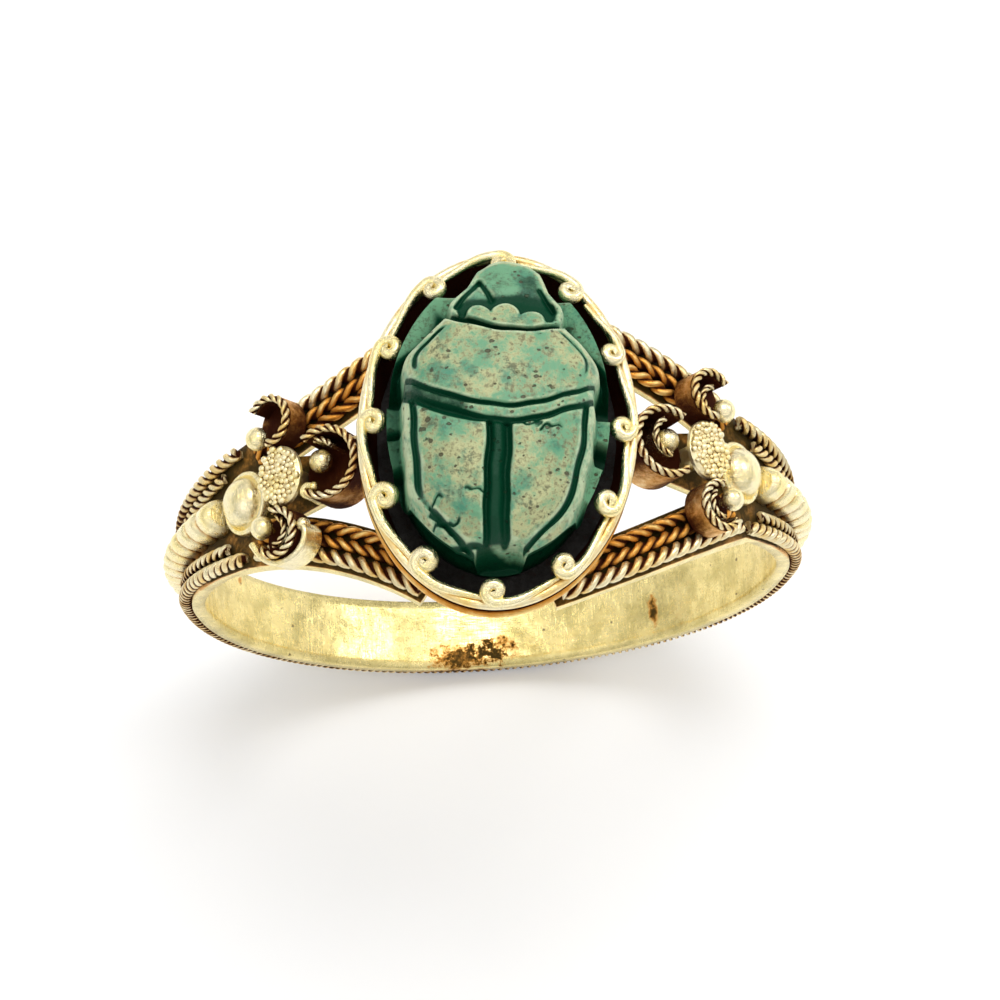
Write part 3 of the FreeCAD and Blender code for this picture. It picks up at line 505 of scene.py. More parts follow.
def gold_material(name, film, dirt_and_shade, roughness, reach, closed, valley=0.0, dents=1.0, pits=0.0,
                  metals=("bright_gold", "gold"), marks=(), outside=0.0, shoulders=0.5):
    """Gold with tarnish and painted shade in its recesses; marks are dark places as (centre, half sizes,
    strength) in millimetres.
    """
    colours = bpy.context.scene.ring_finish
    tree, place = start_material(name)
    # Painted shade: closed-in places, and below them the valleys between strands, are darkened in colour,
    # as grime and shade together.
    recess = maths(tree, "MULTIPLY", shading(tree, reach), closed)
    if valley:
        deep = maths(tree, "POWER", attribute(tree, "valley"), 1.3)
        recess = maths(tree, "MULTIPLY_ADD", deep, valley, recess)
    # The hoop's outer side is darker: by outside up to 1 mm high, by outside plus shoulders above 4.5 mm.
    if outside:
        reach_out = vector_length(tree, vector(tree, "MULTIPLY", place, ACROSS))
        shoulder = add(tree, "ShaderNodeSeparateXYZ", {0: place}).outputs["Z"]
        shoulder = ramp(tree, shoulder, 1.0, 4.5, outside, outside + shoulders)
        recess = maths(tree, "MULTIPLY_ADD", ramp(tree, reach_out, 8.95, 9.12), shoulder, recess)
    for centre, half, strength in marks:
        away = vector_length(tree, vector(tree, "DIVIDE", vector(tree, "SUBTRACT", place, centre), half))
        away = maths(tree, "MULTIPLY_ADD", noise(tree, place, 3.2, 6.0, 0.8), -2.6, away)
        recess = maths(tree, "ADD", recess, ramp(tree, away, -1.1, 0.1, strength, 0.0))
    tarnish = add(tree, "ShaderNodeGroup", node_tree=bpy.data.node_groups["Recess tarnish and shade"])
    tree.links.new(place, tarnish.inputs["Position"])
    tree.links.new(recess, tarnish.inputs["Recess"])
    tarnish.inputs["Film"].default_value = film
    tarnish.inputs["Dirt and shade"].default_value = dirt_and_shade
    tarnish.inputs["Bright"].default_value = getattr(colours, metals[0])
    tarnish.inputs["Clean"].default_value = getattr(colours, metals[1])
    tarnish.inputs["Film colour"].default_value = colours.ochre
    tarnish.inputs["Dirt colour"].default_value = colours.olive if marks else colours.umber
    handling = add(tree, "ShaderNodeGroup", node_tree=bpy.data.node_groups["Handling marks"])
    tree.links.new(place, handling.inputs["Position"])
    handling.inputs["Dents"].default_value = dents
    handling.inputs["Pits"].default_value = pits
    rough = maths(tree, "MULTIPLY_ADD", handling.outputs["Haze"], 0.22, roughness - 0.08)
    rough = maths(tree, "MULTIPLY_ADD", tarnish.outputs["Film mask"], 0.14, rough)
    rough = maths(tree, "MULTIPLY_ADD", tarnish.outputs["Dirt mask"], 0.25, rough)
    metal = maths(tree, "MULTIPLY_ADD", tarnish.outputs["Dirt mask"], -0.55, 1.0)
    gloss = maths(tree, "MULTIPLY_ADD", tarnish.outputs["Dirt mask"], -0.38, 0.5)
    base = tarnish.outputs["Colour"]
    if pits:
        base = blend_colours(tree, maths(tree, "MULTIPLY", handling.outputs["Pit mask"], 0.8), base,
                             colours.umber)
    finish_material(
        tree,
        {"Base Color": base, "Metallic": metal, "Roughness": rough, "Specular IOR Level": gloss},
        handling.outputs["Height"],
        0.05 * MM,
        0.7,
    )


# Dark places on the hoop's sheet: real stains, and at the bottom middle a painted reflection of the
# collet's dark underside.
BAND_STAINS_AND_REFLECTION = (
    ((-0.75, -0.80, -8.70), (1.55, 0.60, 0.8), 1.0),
    ((0.55, -0.45, -8.70), (0.90, 0.55, 0.6), 0.75),
    ((5.50, -0.25, -6.81), (0.20, 0.85, 0.32), 0.95),
    ((6.25, -0.55, -6.12), (0.45, 0.60, 0.60), 0.55),
    ((6.90, 0.45, -5.40), (0.50, 0.60, 0.70), 0.42),
    ((-5.90, 0.65, -6.46), (0.35, 0.50, 0.40), 0.5),
    ((-7.75, 1.00, -4.10), (0.10, 0.50, 0.45), 0.8),
    ((3.20, 0.20, -8.14), (0.50, 0.40, 0.40), 0.45),
)


def make_materials():
    colours = bpy.context.scene.ring_finish
    tarnish_group()
    handling_group()
    glaze_group()
    gold_material("Hoop gold", 0.26, 0.14, 0.24, 0.5 * MM, dents=2.2, pits=0.9, closed=0.5,
                  metals=("band_gold", "band_shade"), marks=BAND_STAINS_AND_REFLECTION, outside=0.42)
    gold_material("Twisted gold", 0.40, 0.46, 0.26, 0.4 * MM, valley=1.0, closed=0.45, dents=0.4,
                  outside=0.40, shoulders=-0.40)
    gold_material("Rope gold", 0.42, 0.44, 0.28, 0.5 * MM, valley=0.95, closed=0.55, dents=0.5)
    gold_material("Old gold", 0.80, 0.48, 0.30, 0.8 * MM, valley=0.70, closed=0.75, dents=0.5,
                  metals=("gold", "ochre"))
    # Painted shade: the collet and petal walls are darkened nearly all over, as they stand in shadow.
    gold_material("Wall gold with painted shade", 0.96, 0.88, 0.40, 1.1 * MM, closed=1.0)
    gold_material("Grain gold", 0.30, 0.36, 0.28, 0.20 * MM, closed=0.95,
                  metals=("bright_gold", "band_gold"))
    gold_material("Rubbed gold", 0.20, 0.22, 0.22, 0.4 * MM, closed=0.50, dents=0.4,
                  metals=("bright_gold", "band_gold"))
    gold_material("Rim gold", 0.52, 0.50, 0.26, 0.5 * MM, closed=0.75, dents=0.5,
                  metals=("bright_gold", "gold"))
    gold_material("Rib gold", 0.36, 0.30, 0.24, 0.5 * MM, valley=0.75, closed=0.60, dents=0.4,
                  metals=("bright_gold", "band_gold"))
    tree, place = start_material("Scarab glaze")
    glaze = add(tree, "ShaderNodeGroup", node_tree=bpy.data.node_groups["Worn glaze"])
    # Painted shade: closed-in places and the low ground round the stone are mixed towards teal.
    sunken_shade = maths(tree, "MULTIPLY_ADD", shading(tree, 1.0 * MM), 0.45, attribute(tree, "sunken_shade"))
    links = {"Position": place, "Carved and shaded": attribute(tree, "carved_and_shaded"), "Sunken shade": sunken_shade,
             "Edge": attribute(tree, "edge")}
    for key, value in links.items():
        tree.links.new(value, glaze.inputs[key])
    for key, value in (("Buff", colours.buff), ("Pale", colours.pale), ("Green", colours.green),
                       ("Teal", colours.teal), ("Stain", colours.stain), ("Pit colour", colours.pit)):
        glaze.inputs[key].default_value = value
    shade = ramp(tree, sunken_shade, 0.55, 1.15)
    base = blend_colours(tree, shade, glaze.outputs["Colour"], colours.teal)
    rough = maths(tree, "MULTIPLY_ADD", glaze.outputs["Worn"], 0.10, 0.44)
    gloss = ramp(tree, maths(tree, "ADD", attribute(tree, "carved_and_shaded"), sunken_shade), 0.2, 0.8, 0.42, 0.12)
    finish_material(
        tree,
        {"Base Color": base, "Roughness": rough, "Specular IOR Level": gloss},
        glaze.outputs["Height"],
        0.07 * MM,
        0.9,
    )
    tree, place = start_material("Dark resin")
    grain = noise(tree, place, 5.0, 5.0, 0.7)
    base = blend_colours(tree, ramp(tree, grain, 0.55, 0.8), colours.resin, colours.umber)
    rough = ramp(tree, grain, 0.3, 0.8, 0.4, 0.9)
    finish_material(tree, {"Base Color": base, "Roughness": rough}, grain, 0.1 * MM, 0.8)


def scaled(tree, value, factor):
    return add(tree, "ShaderNodeVectorMath", {0: value, "Scale": factor}, operation="SCALE").outputs[0]


def named(tree, name):
    return add(tree, "GeometryNodeInputNamedAttribute", {"Name": name}, data_type="FLOAT").outputs[0]


def stored(tree, geometry, name, value):
    inputs = {"Geometry": geometry, "Name": name, "Value": value}
    return add(tree, "GeometryNodeStoreNamedAttribute", inputs, data_type="FLOAT",
               domain="POINT").outputs[0]


def sampled_paths(tree, given):
    """The given paths as curves with evenly spaced points."""
    curves = add(tree, "GeometryNodeMeshToCurve", {"Mesh": given["Paths"]}).outputs[0]
    inputs = {"Curve": curves, "Length": given["Spacing"]}
    return add(tree, "GeometryNodeResampleCurve", inputs, mode="LENGTH").outputs[0]


def finish_group(tree, geometry, given, output):
    """Smooth faces, Realize Instances and Set Material at the end of a group."""
    geometry = add(tree, "GeometryNodeSetShadeSmooth", {"Geometry": geometry}).outputs[0]
    geometry = add(tree, "GeometryNodeRealizeInstances", {"Geometry": geometry}).outputs[0]
    inputs = {"Geometry": geometry, "Material": given["Finish"]}
    geometry = add(tree, "GeometryNodeSetMaterial", inputs).outputs[0]
    tree.links.new(geometry, output)


def wire_group(name, twisted):
    """Wires swept along paths. Twisted ones get two strands, others keep a round section."""
    tree, given, made = new_group(
        name,
        "Geometry",
        [
            ("Paths", "Geometry", None),
            ("Diameter", "Float", 0.4 * MM),
            ("Valley", "Float", 0.4),
            ("Spacing", "Float", 0.05 * MM),
            ("Finish", "Material", None),
        ],
        [("Wires", "Geometry")],
    )
    curves = sampled_paths(tree, given)
    section = add(tree, "GeometryNodeCurvePrimitiveCircle", {"Resolution": 12, "Radius": 1.0}).outputs[0]
    size = maths(tree, "MULTIPLY", given["Diameter"], 0.5)
    scale = size
    if twisted:
        tilt = maths(tree, "MULTIPLY", named(tree, "turns"), 2 * math.pi)
        curves = add(tree, "GeometryNodeSetCurveTilt", {"Curve": curves, "Tilt": tilt}).outputs[0]
        around = add(tree, "GeometryNodeSplineParameter")
        angle = maths(tree, "MULTIPLY", around.outputs["Factor"], 2 * math.pi)
        lobe = maths(tree, "ABSOLUTE", maths(tree, "COSINE", angle))
        reach = ramp(tree, lobe, 0.0, 1.0, given["Valley"], 1.0)
        place = add(tree, "GeometryNodeInputPosition").outputs[0]
        moved = {"Geometry": section, "Position": scaled(tree, place, reach)}
        section = add(tree, "GeometryNodeSetPosition", moved).outputs[0]
        section = stored(tree, section, "valley", maths(tree, "SUBTRACT", 1.0, lobe))
    else:
        scale = maths(tree, "MULTIPLY", named(tree, "thick"), size)
    inputs = {"Curve": curves, "Profile Curve": section, "Scale": scale, "Fill Caps": True}
    swept = add(tree, "GeometryNodeCurveToMesh", inputs).outputs[0]
    finish_group(tree, swept, given, made["Wires"])


def granule_group():
    """Small balls of gold scattered over a face and fused to it."""
    tree, given, made = new_group(
        "Granulation",
        "Geometry",
        [
            ("Face", "Geometry", None),
            ("Granule", "Float", 0.15 * MM),
            ("Gap", "Float", 0.12 * MM),
            ("Seed", "Int", 7),
            ("Finish", "Material", None),
        ],
        [("Granules", "Geometry")],
    )
    points = add(
        tree,
        "GeometryNodeDistributePointsOnFaces",
        {"Mesh": given["Face"], "Distance Min": given["Gap"], "Density Max": 6e8,
         "Seed": given["Seed"]},
        distribute_method="POISSON",
    ).outputs["Points"]
    ball = add(tree, "GeometryNodeMeshIcoSphere", {"Radius": 0.5, "Subdivisions": 2}).outputs[0]
    varied = add(tree, "FunctionNodeRandomValue", {"Seed": given["Seed"]}, data_type="FLOAT")
    varied.inputs[2].default_value = 0.60
    varied.inputs[3].default_value = 1.25
    size = maths(tree, "MULTIPLY", varied.outputs[1], given["Granule"])
    balls = add(tree, "GeometryNodeInstanceOnPoints",
                {"Points": points, "Instance": ball, "Scale": size}).outputs[0]
    finish_group(tree, balls, given, made["Granules"])


# Geometry helpers. Points are rows of arrays, in metres.


def on_hoop(turn, along, radius):
    turn, along, radius = np.broadcast_arrays(turn, along, radius)
    return np.stack([radius * np.sin(turn), along, radius * np.cos(turn)], axis=-1)


def in_collet(points):
    """From the collet's own direction to the ring's."""
    cosine, sine = math.cos(COLLET_TURN), math.sin(COLLET_TURN)
    points = np.asarray(points)
    x = points[..., 0] * cosine - points[..., 1] * sine
    y = points[..., 0] * sine + points[..., 1] * cosine
    return np.stack([x, y, points[..., 2]], axis=-1)


def placed(points, turn, along):
    """Moves points made above the origin to their turn and place on the hoop."""
    points = np.asarray(points)
    x, y, z = points[..., 0], points[..., 1] + along, points[..., 2]
    return np.stack([x * math.cos(turn) + z * math.sin(turn), y,
                     z * math.cos(turn) - x * math.sin(turn)], axis=-1)


def mirrored(points, side, end=1):
    return np.asarray(points) * (side, end, 1)


def oval(half_width, half_length, height, sides):
    angle = np.linspace(0, 2 * math.pi, sides, endpoint=False)
    return np.stack([half_width * np.cos(angle), half_length * np.sin(angle),
                     np.full(sides, height)], axis=-1)


class Shape:
    """Collects the faces of one piece."""

    def __init__(self):
        self.points = []
        self.faces = []

    def add(self, points, faces):
        start = len(self.points)
        self.points.extend(map(tuple, points))
        self.faces.extend([tuple(start + k for k in face) for face in faces])

    def skin(self, rings, closed=False, round_about=False):
        """Faces between rings; round_about joins the last ring to the first."""
        rings = np.asarray(rings)
        rows, around = rings.shape[:2]
        faces = []
        for row in range(rows if round_about else rows - 1):
            below, above = row * around, (row + 1) % rows * around
            for k in range(around):
                following = (k + 1) % around
                faces.append((below + k, below + following, above + following, above + k))
        if closed:
            faces.append(tuple(reversed(range(around))))
            faces.append(tuple((rows - 1) * around + k for k in range(around)))
        self.add(rings.reshape(-1, 3), faces)

    def seat(self, rings, turn, along, side, end=1):
        """A closed skin, made above the origin and moved to its place on a shoulder."""
        self.skin(mirrored(placed(rings, turn, along), side, end), closed=True)

    def mesh(self, name, sharp_degrees=40):
        mesh = bpy.data.meshes.new(name)
        mesh.from_pydata(self.points, [], self.faces)
        tidy_normals(mesh)
        mesh.polygons.foreach_set("use_smooth", [True] * len(mesh.polygons))
        mesh.set_sharp_from_angle(angle=math.radians(sharp_degrees))
        return mesh


def tidy_normals(mesh):
    form = bmesh.new()
    form.from_mesh(mesh)
    bmesh.ops.remove_doubles(form, verts=form.verts, dist=1e-7)
    bmesh.ops.recalc_face_normals(form, faces=form.faces)
    form.to_mesh(mesh)
    form.free()


def show(name, mesh, finish, nodes):
    """Puts a finished mesh in the scene, on the ring's body, in place of its CAD nodes."""
    piece = bpy.data.objects.new(name, mesh)
    bpy.context.scene.collection.objects.link(piece)
    mesh.materials.clear()
    mesh.materials.append(bpy.data.materials[finish])
    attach(piece, ring_body)
    if nodes:
        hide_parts(*nodes)
    return piece


def paths_mesh(name, paths):
    """Paths as loose edges; each path is (points, closed, turns, thick)."""
    points, edges, all_turns, thicks = [], [], [], []
    for line, closed, turns, thick in paths:
        start = len(points)
        total = len(line)
        points.extend(map(tuple, line))
        edges.extend((start + k, start + k + 1) for k in range(total - 1))
        if closed:
            edges.append((start + total - 1, start))
        all_turns.extend(np.broadcast_to(turns, total))
        thicks.extend(np.broadcast_to(thick, total))
    mesh = bpy.data.meshes.new(name)
    mesh.from_pydata(points, edges, [])
    for attribute_name, values in (("turns", all_turns), ("thick", thicks)):
        mesh.attributes.new(attribute_name, "FLOAT", "POINT").data.foreach_set("value", values)
    return mesh


def grown(name, mesh, tree, inputs):
    """The plain mesh that a geometry tree makes from a mesh."""
    carrier = bpy.data.objects.new(name, mesh)
    bpy.context.scene.collection.objects.link(carrier)
    modifier = carrier.modifiers.new("Grow", "NODES")
    modifier.node_group = tree
    for item in tree.interface.items_tree:
        if item.item_type == "SOCKET" and item.in_out == "INPUT" and item.name in inputs:
            modifier[item.identifier] = inputs[item.name]
    carrier.update_tag()
    bpy.context.view_layer.update()
    depsgraph = bpy.context.evaluated_depsgraph_get()
    made = bpy.data.meshes.new_from_object(carrier.evaluated_get(depsgraph))
    if not made.polygons:
        raise RuntimeError(name + " came out empty")
    carrier.modifiers.remove(modifier)
    bpy.data.objects.remove(carrier)
    made.name = name
    return made


def turns_along(line, pitch, hand):
    """How many turns a twisted wire has made at each point; the pitch may vary."""
    steps = np.linalg.norm(np.diff(line, axis=0), axis=1)
    pitch = np.broadcast_to(pitch, len(line))
    return hand * np.concatenate([[0], np.cumsum(steps * 2 / (pitch[1:] + pitch[:-1]))])


def twisted(name, paths, diameter, pitch, finish, slot, nodes):
    """Twisted wires; each path is (points, closed, hand, thick)."""
    wires = bpy.context.scene.ring_wires
    paths = [(line, closed, turns_along(line, pitch, hand), thick) for line, closed, hand, thick in paths]
    pitch = np.min(pitch)
    inputs = {
        "Diameter": diameter,
        "Valley": wires.valley,
        "Spacing": pitch / wires.samples,
        "Finish": bpy.data.materials[finish],
    }
    mesh = grown(name, paths_mesh(name + "_paths", paths), bpy.data.node_groups["Twisted wire"], inputs)
    return show(name, mesh, finish, nodes)


def plain_wire(name, paths, diameter, spacing, finish, nodes):
    inputs = {"Diameter": diameter, "Spacing": spacing, "Finish": bpy.data.materials[finish]}
    mesh = grown(name, paths_mesh(name + "_paths", paths), bpy.data.node_groups["Round wire"], inputs)
    return show(name, mesh, finish, nodes)


def half_width_at(turn):
    """Half of the band's width at a turn."""
    hoop = bpy.context.scene.ring_hoop
    low = math.cos(hoop.taper_start)
    high = math.cos(hoop.shoulder_turn)
    wide = np.clip((np.cos(turn) - low) / (high - low), 0, 1) ** hoop.taper_power
    return (hoop.band_width + (hoop.shoulder_width - hoop.band_width) * wide) / 2


ARM_START, ARM_END = 0.03, 0.97  # shares of an arm's arc between which its wires lie


def arm_line(side, end, offset, radius, stations):
    """The line of a wire on a forked arm: an arc in plan, laid on the hoop."""
    hoop = bpy.context.scene.ring_hoop
    start = np.array([side * hoop.outer_radius * math.sin(hoop.shoulder_turn),
                      end * (hoop.shoulder_width - hoop.branch_width) / 2])
    foot = in_collet([side * hoop.branch_foot_x, end * hoop.branch_foot_y, 0])[:2]
    chord = foot - start
    outward = np.array([-chord[1], chord[0]]) / np.hypot(*chord)
    if outward[1] * end < 0:
        outward = -outward
    bow = hoop.bow_left if side < 0 else hoop.bow_right
    half = np.hypot(*chord) / 2
    arc_radius = (half**2 + bow**2) / (2 * abs(bow))
    bend = 1 if bow > 0 else -1
    centre = (start + foot) / 2 + outward * (bow - bend * arc_radius)
    angles = [math.atan2(*reversed(tip - centre)) for tip in (start, foot)]
    swing = (angles[1] - angles[0] + math.pi) % (2 * math.pi) - math.pi
    angle = angles[0] + swing * np.linspace(ARM_START, ARM_END, stations)
    reach = arc_radius + bend * offset
    x = centre[0] + reach * np.cos(angle)
    y = centre[1] + reach * np.sin(angle)
    return np.stack([x, y, np.sqrt(radius**2 - x**2)], axis=-1)


def build_hoop():
    """The sheet: a finer copy of the CAD solid, its faces true to the two cylinders."""
    hoop = bpy.context.scene.ring_hoop
    source = frame["nodes"]["hoop_band"]
    form = bmesh.new()
    form.from_mesh(source.data)
    bmesh.ops.remove_doubles(form, verts=form.verts, dist=1e-6)
    longest = 0.40 * MM
    for _ in range(7):
        long_edges = [edge for edge in form.edges if edge.calc_length() > longest]
        if not long_edges:
            break
        bmesh.ops.subdivide_edges(form, edges=long_edges, cuts=1)
        bmesh.ops.triangulate(form, faces=[face for face in form.faces if len(face.verts) > 3])
    near = 0.06 * MM
    for vertex in form.verts:
        radius = math.hypot(vertex.co.x, vertex.co.z)
        for wanted in (hoop.finger_radius, hoop.outer_radius):
            if abs(radius - wanted) < near:
                vertex.co.x *= wanted / radius
                vertex.co.z *= wanted / radius
    mesh = bpy.data.meshes.new("hoop_sheet")
    form.to_mesh(mesh)
    form.free()
    mesh.polygons.foreach_set("use_smooth", [True] * len(mesh.polygons))
    mesh.set_sharp_from_angle(angle=math.radians(30))
    show("hoop_sheet", mesh, "Hoop gold", ["hoop_band"])


def build_hoop_wires():
    hoop = bpy.context.scene.ring_hoop
    wires = bpy.context.scene.ring_wires
    stations = 400
    turn = np.linspace(hoop.edge_wire_start, 2 * math.pi - hoop.edge_wire_start, stations)
    fold = np.where(turn > math.pi, 2 * math.pi - turn, turn)
    inner_room = 0.36 * MM
    gap = 0.05 * MM
    edge_along = half_width_at(fold) - wires.edge_room / 2
    radius = hoop.outer_radius + wires.edge_seat
    paths = [(on_hoop(turn, end * edge_along, radius), False, end, 1) for _, end in ENDS]
    slack = (wires.shoulder_pitch_end, wires.edge_pitch_start)
    pitch = np.interp(fold, slack, (wires.shoulder_pitch, wires.edge_pitch))
    twisted("edge_ropes", paths, wires.edge_diameter, pitch, "Twisted gold", "gold_wire",
            ["edge_wire_front", "edge_wire_back"])
    turn = np.linspace(hoop.inner_wire_start, hoop.inner_wire_end, stations // 3)
    inner_along = half_width_at(turn) - wires.edge_room - gap - inner_room / 2
    radius = hoop.outer_radius + wires.inner_diameter * WIRE_SEAT
    paths, nodes = [], []
    for side_name, side in SIDES:
        for end_name, end in ENDS:
            line = mirrored(on_hoop(turn, inner_along, radius), side, end)
            paths.append((line, False, -side * end, 1))
            nodes.append("inner_wire_" + side_name + "_" + end_name)
    pitch = np.interp(turn, slack, (wires.shoulder_pitch, wires.inner_pitch))
    twisted("second_ropes", paths, wires.inner_diameter, pitch, "Twisted gold",
            "gold_wire", nodes)


def build_arm_wires():
    hoop = bpy.context.scene.ring_hoop
    wires = bpy.context.scene.ring_wires
    rope_room = 0.48 * MM
    braid_room = wires.braid_diameter
    ropes, braids, rope_nodes, braid_nodes = [], [], [], []
    for side_name, side in SIDES:
        for end_name, end in ENDS:
            name = side_name + "_" + end_name
            offset = (hoop.branch_width - rope_room) / 2
            radius = hoop.outer_radius + wires.rope_diameter * WIRE_SEAT
            ropes.append((arm_line(side, end, offset, radius, 60), False, side * end, 1))
            rope_nodes.append("branch_rope_" + name)
            first = hoop.branch_width / 2 - rope_room - braid_room / 2
            radius = hoop.outer_radius + wires.braid_diameter * WIRE_SEAT
            for offset, hand in ((first, 1), (first - braid_room, -1)):
                line = arm_line(side, end, offset, radius, 60)
                braids.append((line, False, hand * side * end, 1))
            braid_nodes.append("branch_braid_" + name)
    twisted("arm_ropes", ropes, wires.rope_diameter, wires.rope_pitch, "Rope gold", "gold_wire", rope_nodes)
    twisted("arm_braids", braids, wires.braid_diameter, wires.braid_pitch, "Old gold", "gold_wire",
            braid_nodes)


def collet_size_at(height):
    collet = bpy.context.scene.ring_collet
    top = collet.rim_height - collet.rim_wire / 2
    part = (height - collet.floor_height) / (top - collet.floor_height)
    part = collet.foot_share + (1 - collet.foot_share) * part
    inset = (collet.rim_wire - collet.wall_thickness) / 2
    return (collet.rim_half_width - inset) * part, (collet.rim_half_length - inset) * part


def build_collet():
    collet = bpy.context.scene.ring_collet
    sides = collet.sides
    floor_top = collet.floor_height + collet.floor_thickness
    wall_top = collet.rim_height - collet.rim_wire * 0.36
    shape = Shape()
    rings = []
    for height in (collet.floor_height, floor_top):
        rings.append(in_collet(oval(*collet_size_at(height), height, sides)))
    shape.skin(rings, closed=True)
    show("collet_plate", shape.mesh("collet_plate"), "Wall gold with painted shade", ["collet_floor"])
    shape = Shape()
    rings = []
    for inset, heights in ((0, (floor_top, wall_top)), (collet.wall_thickness, (wall_top, floor_top))):
        for height in heights:
            width, reach = collet_size_at(height)
            rings.append(in_collet(oval(width - inset, reach - inset, height, sides)))
    shape.skin(rings, round_about=True)
    show("collet_strip", shape.mesh("collet_strip"), "Wall gold with painted shade", ["collet_wall"])
    half = collet.rim_wire / 2
    rim = oval(collet.rim_half_width - half, collet.rim_half_length - half, collet.rim_height, sides)
    plain_wire("rim_bead", [(in_collet(rim), True, 1, 1)], collet.rim_wire * 0.82, 0.12 * MM,
               "Rim gold", ["rim_wire"])
    paths = []
    radius = collet.foot_wire / 2
    for level in range(collet.foot_wires):
        height = collet.floor_height + radius * FLATS * (2 * level + 1)
        width, reach = collet_size_at(height + radius * FLATS)
        paths.append((in_collet(oval(width + radius, reach + radius, height, sides)), True, 1, 1))
    plain_wire("foot_beads", paths, collet.foot_wire * 0.97, 0.12 * MM,
               "Old gold", ["foot_wires"])


def claw_angles():
    """Ellipse angles of the claws' roots, evenly spaced along the rim."""
    collet = bpy.context.scene.ring_collet
    inset = collet.rim_wire / 2
    a, b = collet.rim_half_width - inset, collet.rim_half_length - inset
    fine = math.radians(-88.5) + np.linspace(0, 2 * math.pi, 2881)
    steps = np.hypot(a * np.sin(fine[:-1]), b * np.cos(fine[:-1]))
    run = np.concatenate([[0], np.cumsum(steps)])
    return np.interp(np.arange(12) / 12 * run[-1], run, fine)


def claw_path(angle, size):
    collet = bpy.context.scene.ring_collet
    claws = bpy.context.scene.ring_claws
    inset = collet.rim_wire / 2
    a, b = collet.rim_half_width - inset, collet.rim_half_length - inset
    radius = claws.wire / 2
    along = np.array([a * math.sin(angle), -b * math.cos(angle), 0])
    speed = np.hypot(*along[:2])
    along /= speed
    inward = np.array([-b * math.cos(angle), -a * math.sin(angle), 0])
    inward /= np.hypot(*inward[:2])
    rise = inward * math.cos(claws.tilt) + np.array([0, 0, 1]) * math.sin(claws.tilt)
    height = collet.rim_height + inset * FLATS + radius * 0.8
    root = np.array([a * math.cos(angle), b * math.sin(angle), height])
    stem_points = 20
    back = np.linspace(claws.stem * size, 0, stem_points, endpoint=False)
    turn = angle + back / speed
    away = back / (claws.stem * size)
    inner = 0.17 * MM * smooth(0.15, 0.8, away)
    stem = np.stack([(a - inner) * np.cos(turn), (b - inner) * np.sin(turn),
                     np.full(stem_points, height)], axis=-1)
    stem[:, 2] -= radius * 1.1 * away
    curl_points = 44
    roll = np.linspace(0, claws.curl, curl_points)
    bend = claws.outer_bend + (claws.inner_bend - claws.outer_bend) * (roll / claws.curl) ** 0.85
    bend = bend * size
    centre_w = claws.outer_bend * size
    u = bend * np.sin(roll)
    w = centre_w - bend * np.cos(roll)
    curl = root + along * u[:, None] + rise * w[:, None]
    line = np.concatenate([stem, curl])
    thick = np.concatenate([
        np.linspace(0.50, 0.92, stem_points),
        np.interp(roll, [0, 2.0, claws.curl], [0.94, 1.14, 1.0]),
    ])
    return line, thick * min(size, 1.02)


def build_claws():
    claws = bpy.context.scene.ring_claws
    sizes = [0.92, 0.90, 0.97, 0.94, 0.86, 0.90, 0.95, 0.92, 0.94, 0.97, 1.06, 1.03]
    paths = []
    for angle, size in zip(claw_angles(), sizes):
        line, thick = claw_path(angle, size)
        paths.append((in_collet(line), False, 1, thick))
    plain_wire("scroll_claws", paths, claws.wire, 0.045 * MM, "Rubbed gold", ["claws"])


def petal_floor(outer):
    hoop = bpy.context.scene.ring_hoop
    wires = bpy.context.scene.ring_wires
    return hoop.outer_radius + (wires.rope_diameter * FLATS + 2 * GAP if outer else GAP)


def petal_angles(opening, facing, steps):
    return np.linspace(facing + opening / 2, facing + 2 * math.pi - opening / 2, steps)


def build_petals():
    rosette = bpy.context.scene.ring_rosette
    wires = bpy.context.scene.ring_wires
    petals = (
        ("inner", rosette.inner_radius, rosette.inner_opening, 0, rosette.inner_turn, 0, 1),
        ("back", rosette.outer_radius, rosette.outer_opening, -rosette.outer_facing, rosette.outer_turn,
         rosette.outer_along, 1),
        ("front", rosette.outer_radius, rosette.outer_opening, -rosette.outer_facing, rosette.outer_turn,
         rosette.outer_along, -1),
    )
    for side_name, side in SIDES:
        rims = []
        for name, radius, opening, facing, turn, along, end in petals:
            low = petal_floor(name != "inner")
            high = rosette.petal_top
            inside = radius - rosette.petal_wall
            soft = 0.03 * MM
            profile = [(inside, low + soft), (radius, low + soft), (radius, high - soft),
                       (radius - soft, high), (inside + soft, high), (inside, high - soft)]
            angle = petal_angles(opening, facing, 40)
            rings = [[(r * math.cos(t), r * math.sin(t), h) for r, h in profile] for t in angle]
            shape = Shape()
            shape.seat(rings, turn, along, side, end)
            floor = [oval(radius, radius, height, 40) for height in (low, low + PETAL_FLOOR)]
            shape.seat(floor, turn, along, side, end)
            piece = "petal_strip_" + name + "_" + side_name
            show(piece, shape.mesh(piece), "Wall gold with painted shade", ["petal_" + name + "_" + side_name])
            middle = radius - rosette.petal_wall / 2
            top = high + wires.rim_diameter * 0.42
            line = np.stack([middle * np.cos(angle), middle * np.sin(angle),
                             np.full(len(angle), top)], axis=-1)
            rims.append((mirrored(placed(line, turn, along), side, end), False, 1, 1))
        twisted("petal_ropes_" + side_name, rims, wires.rim_diameter, wires.rim_pitch, "Twisted gold",
                "gold_wire", ["petal_rims_" + side_name])


def ball_rings(centre_height, radius, squash=1.0):
    levels = 14
    rings = []
    for level in range(levels):
        polar = math.pi * (level + 0.5) / levels
        reach = radius * math.sin(polar)
        rings.append(oval(reach, reach, centre_height + squash * radius * math.cos(polar), 28))
    return np.array(rings)


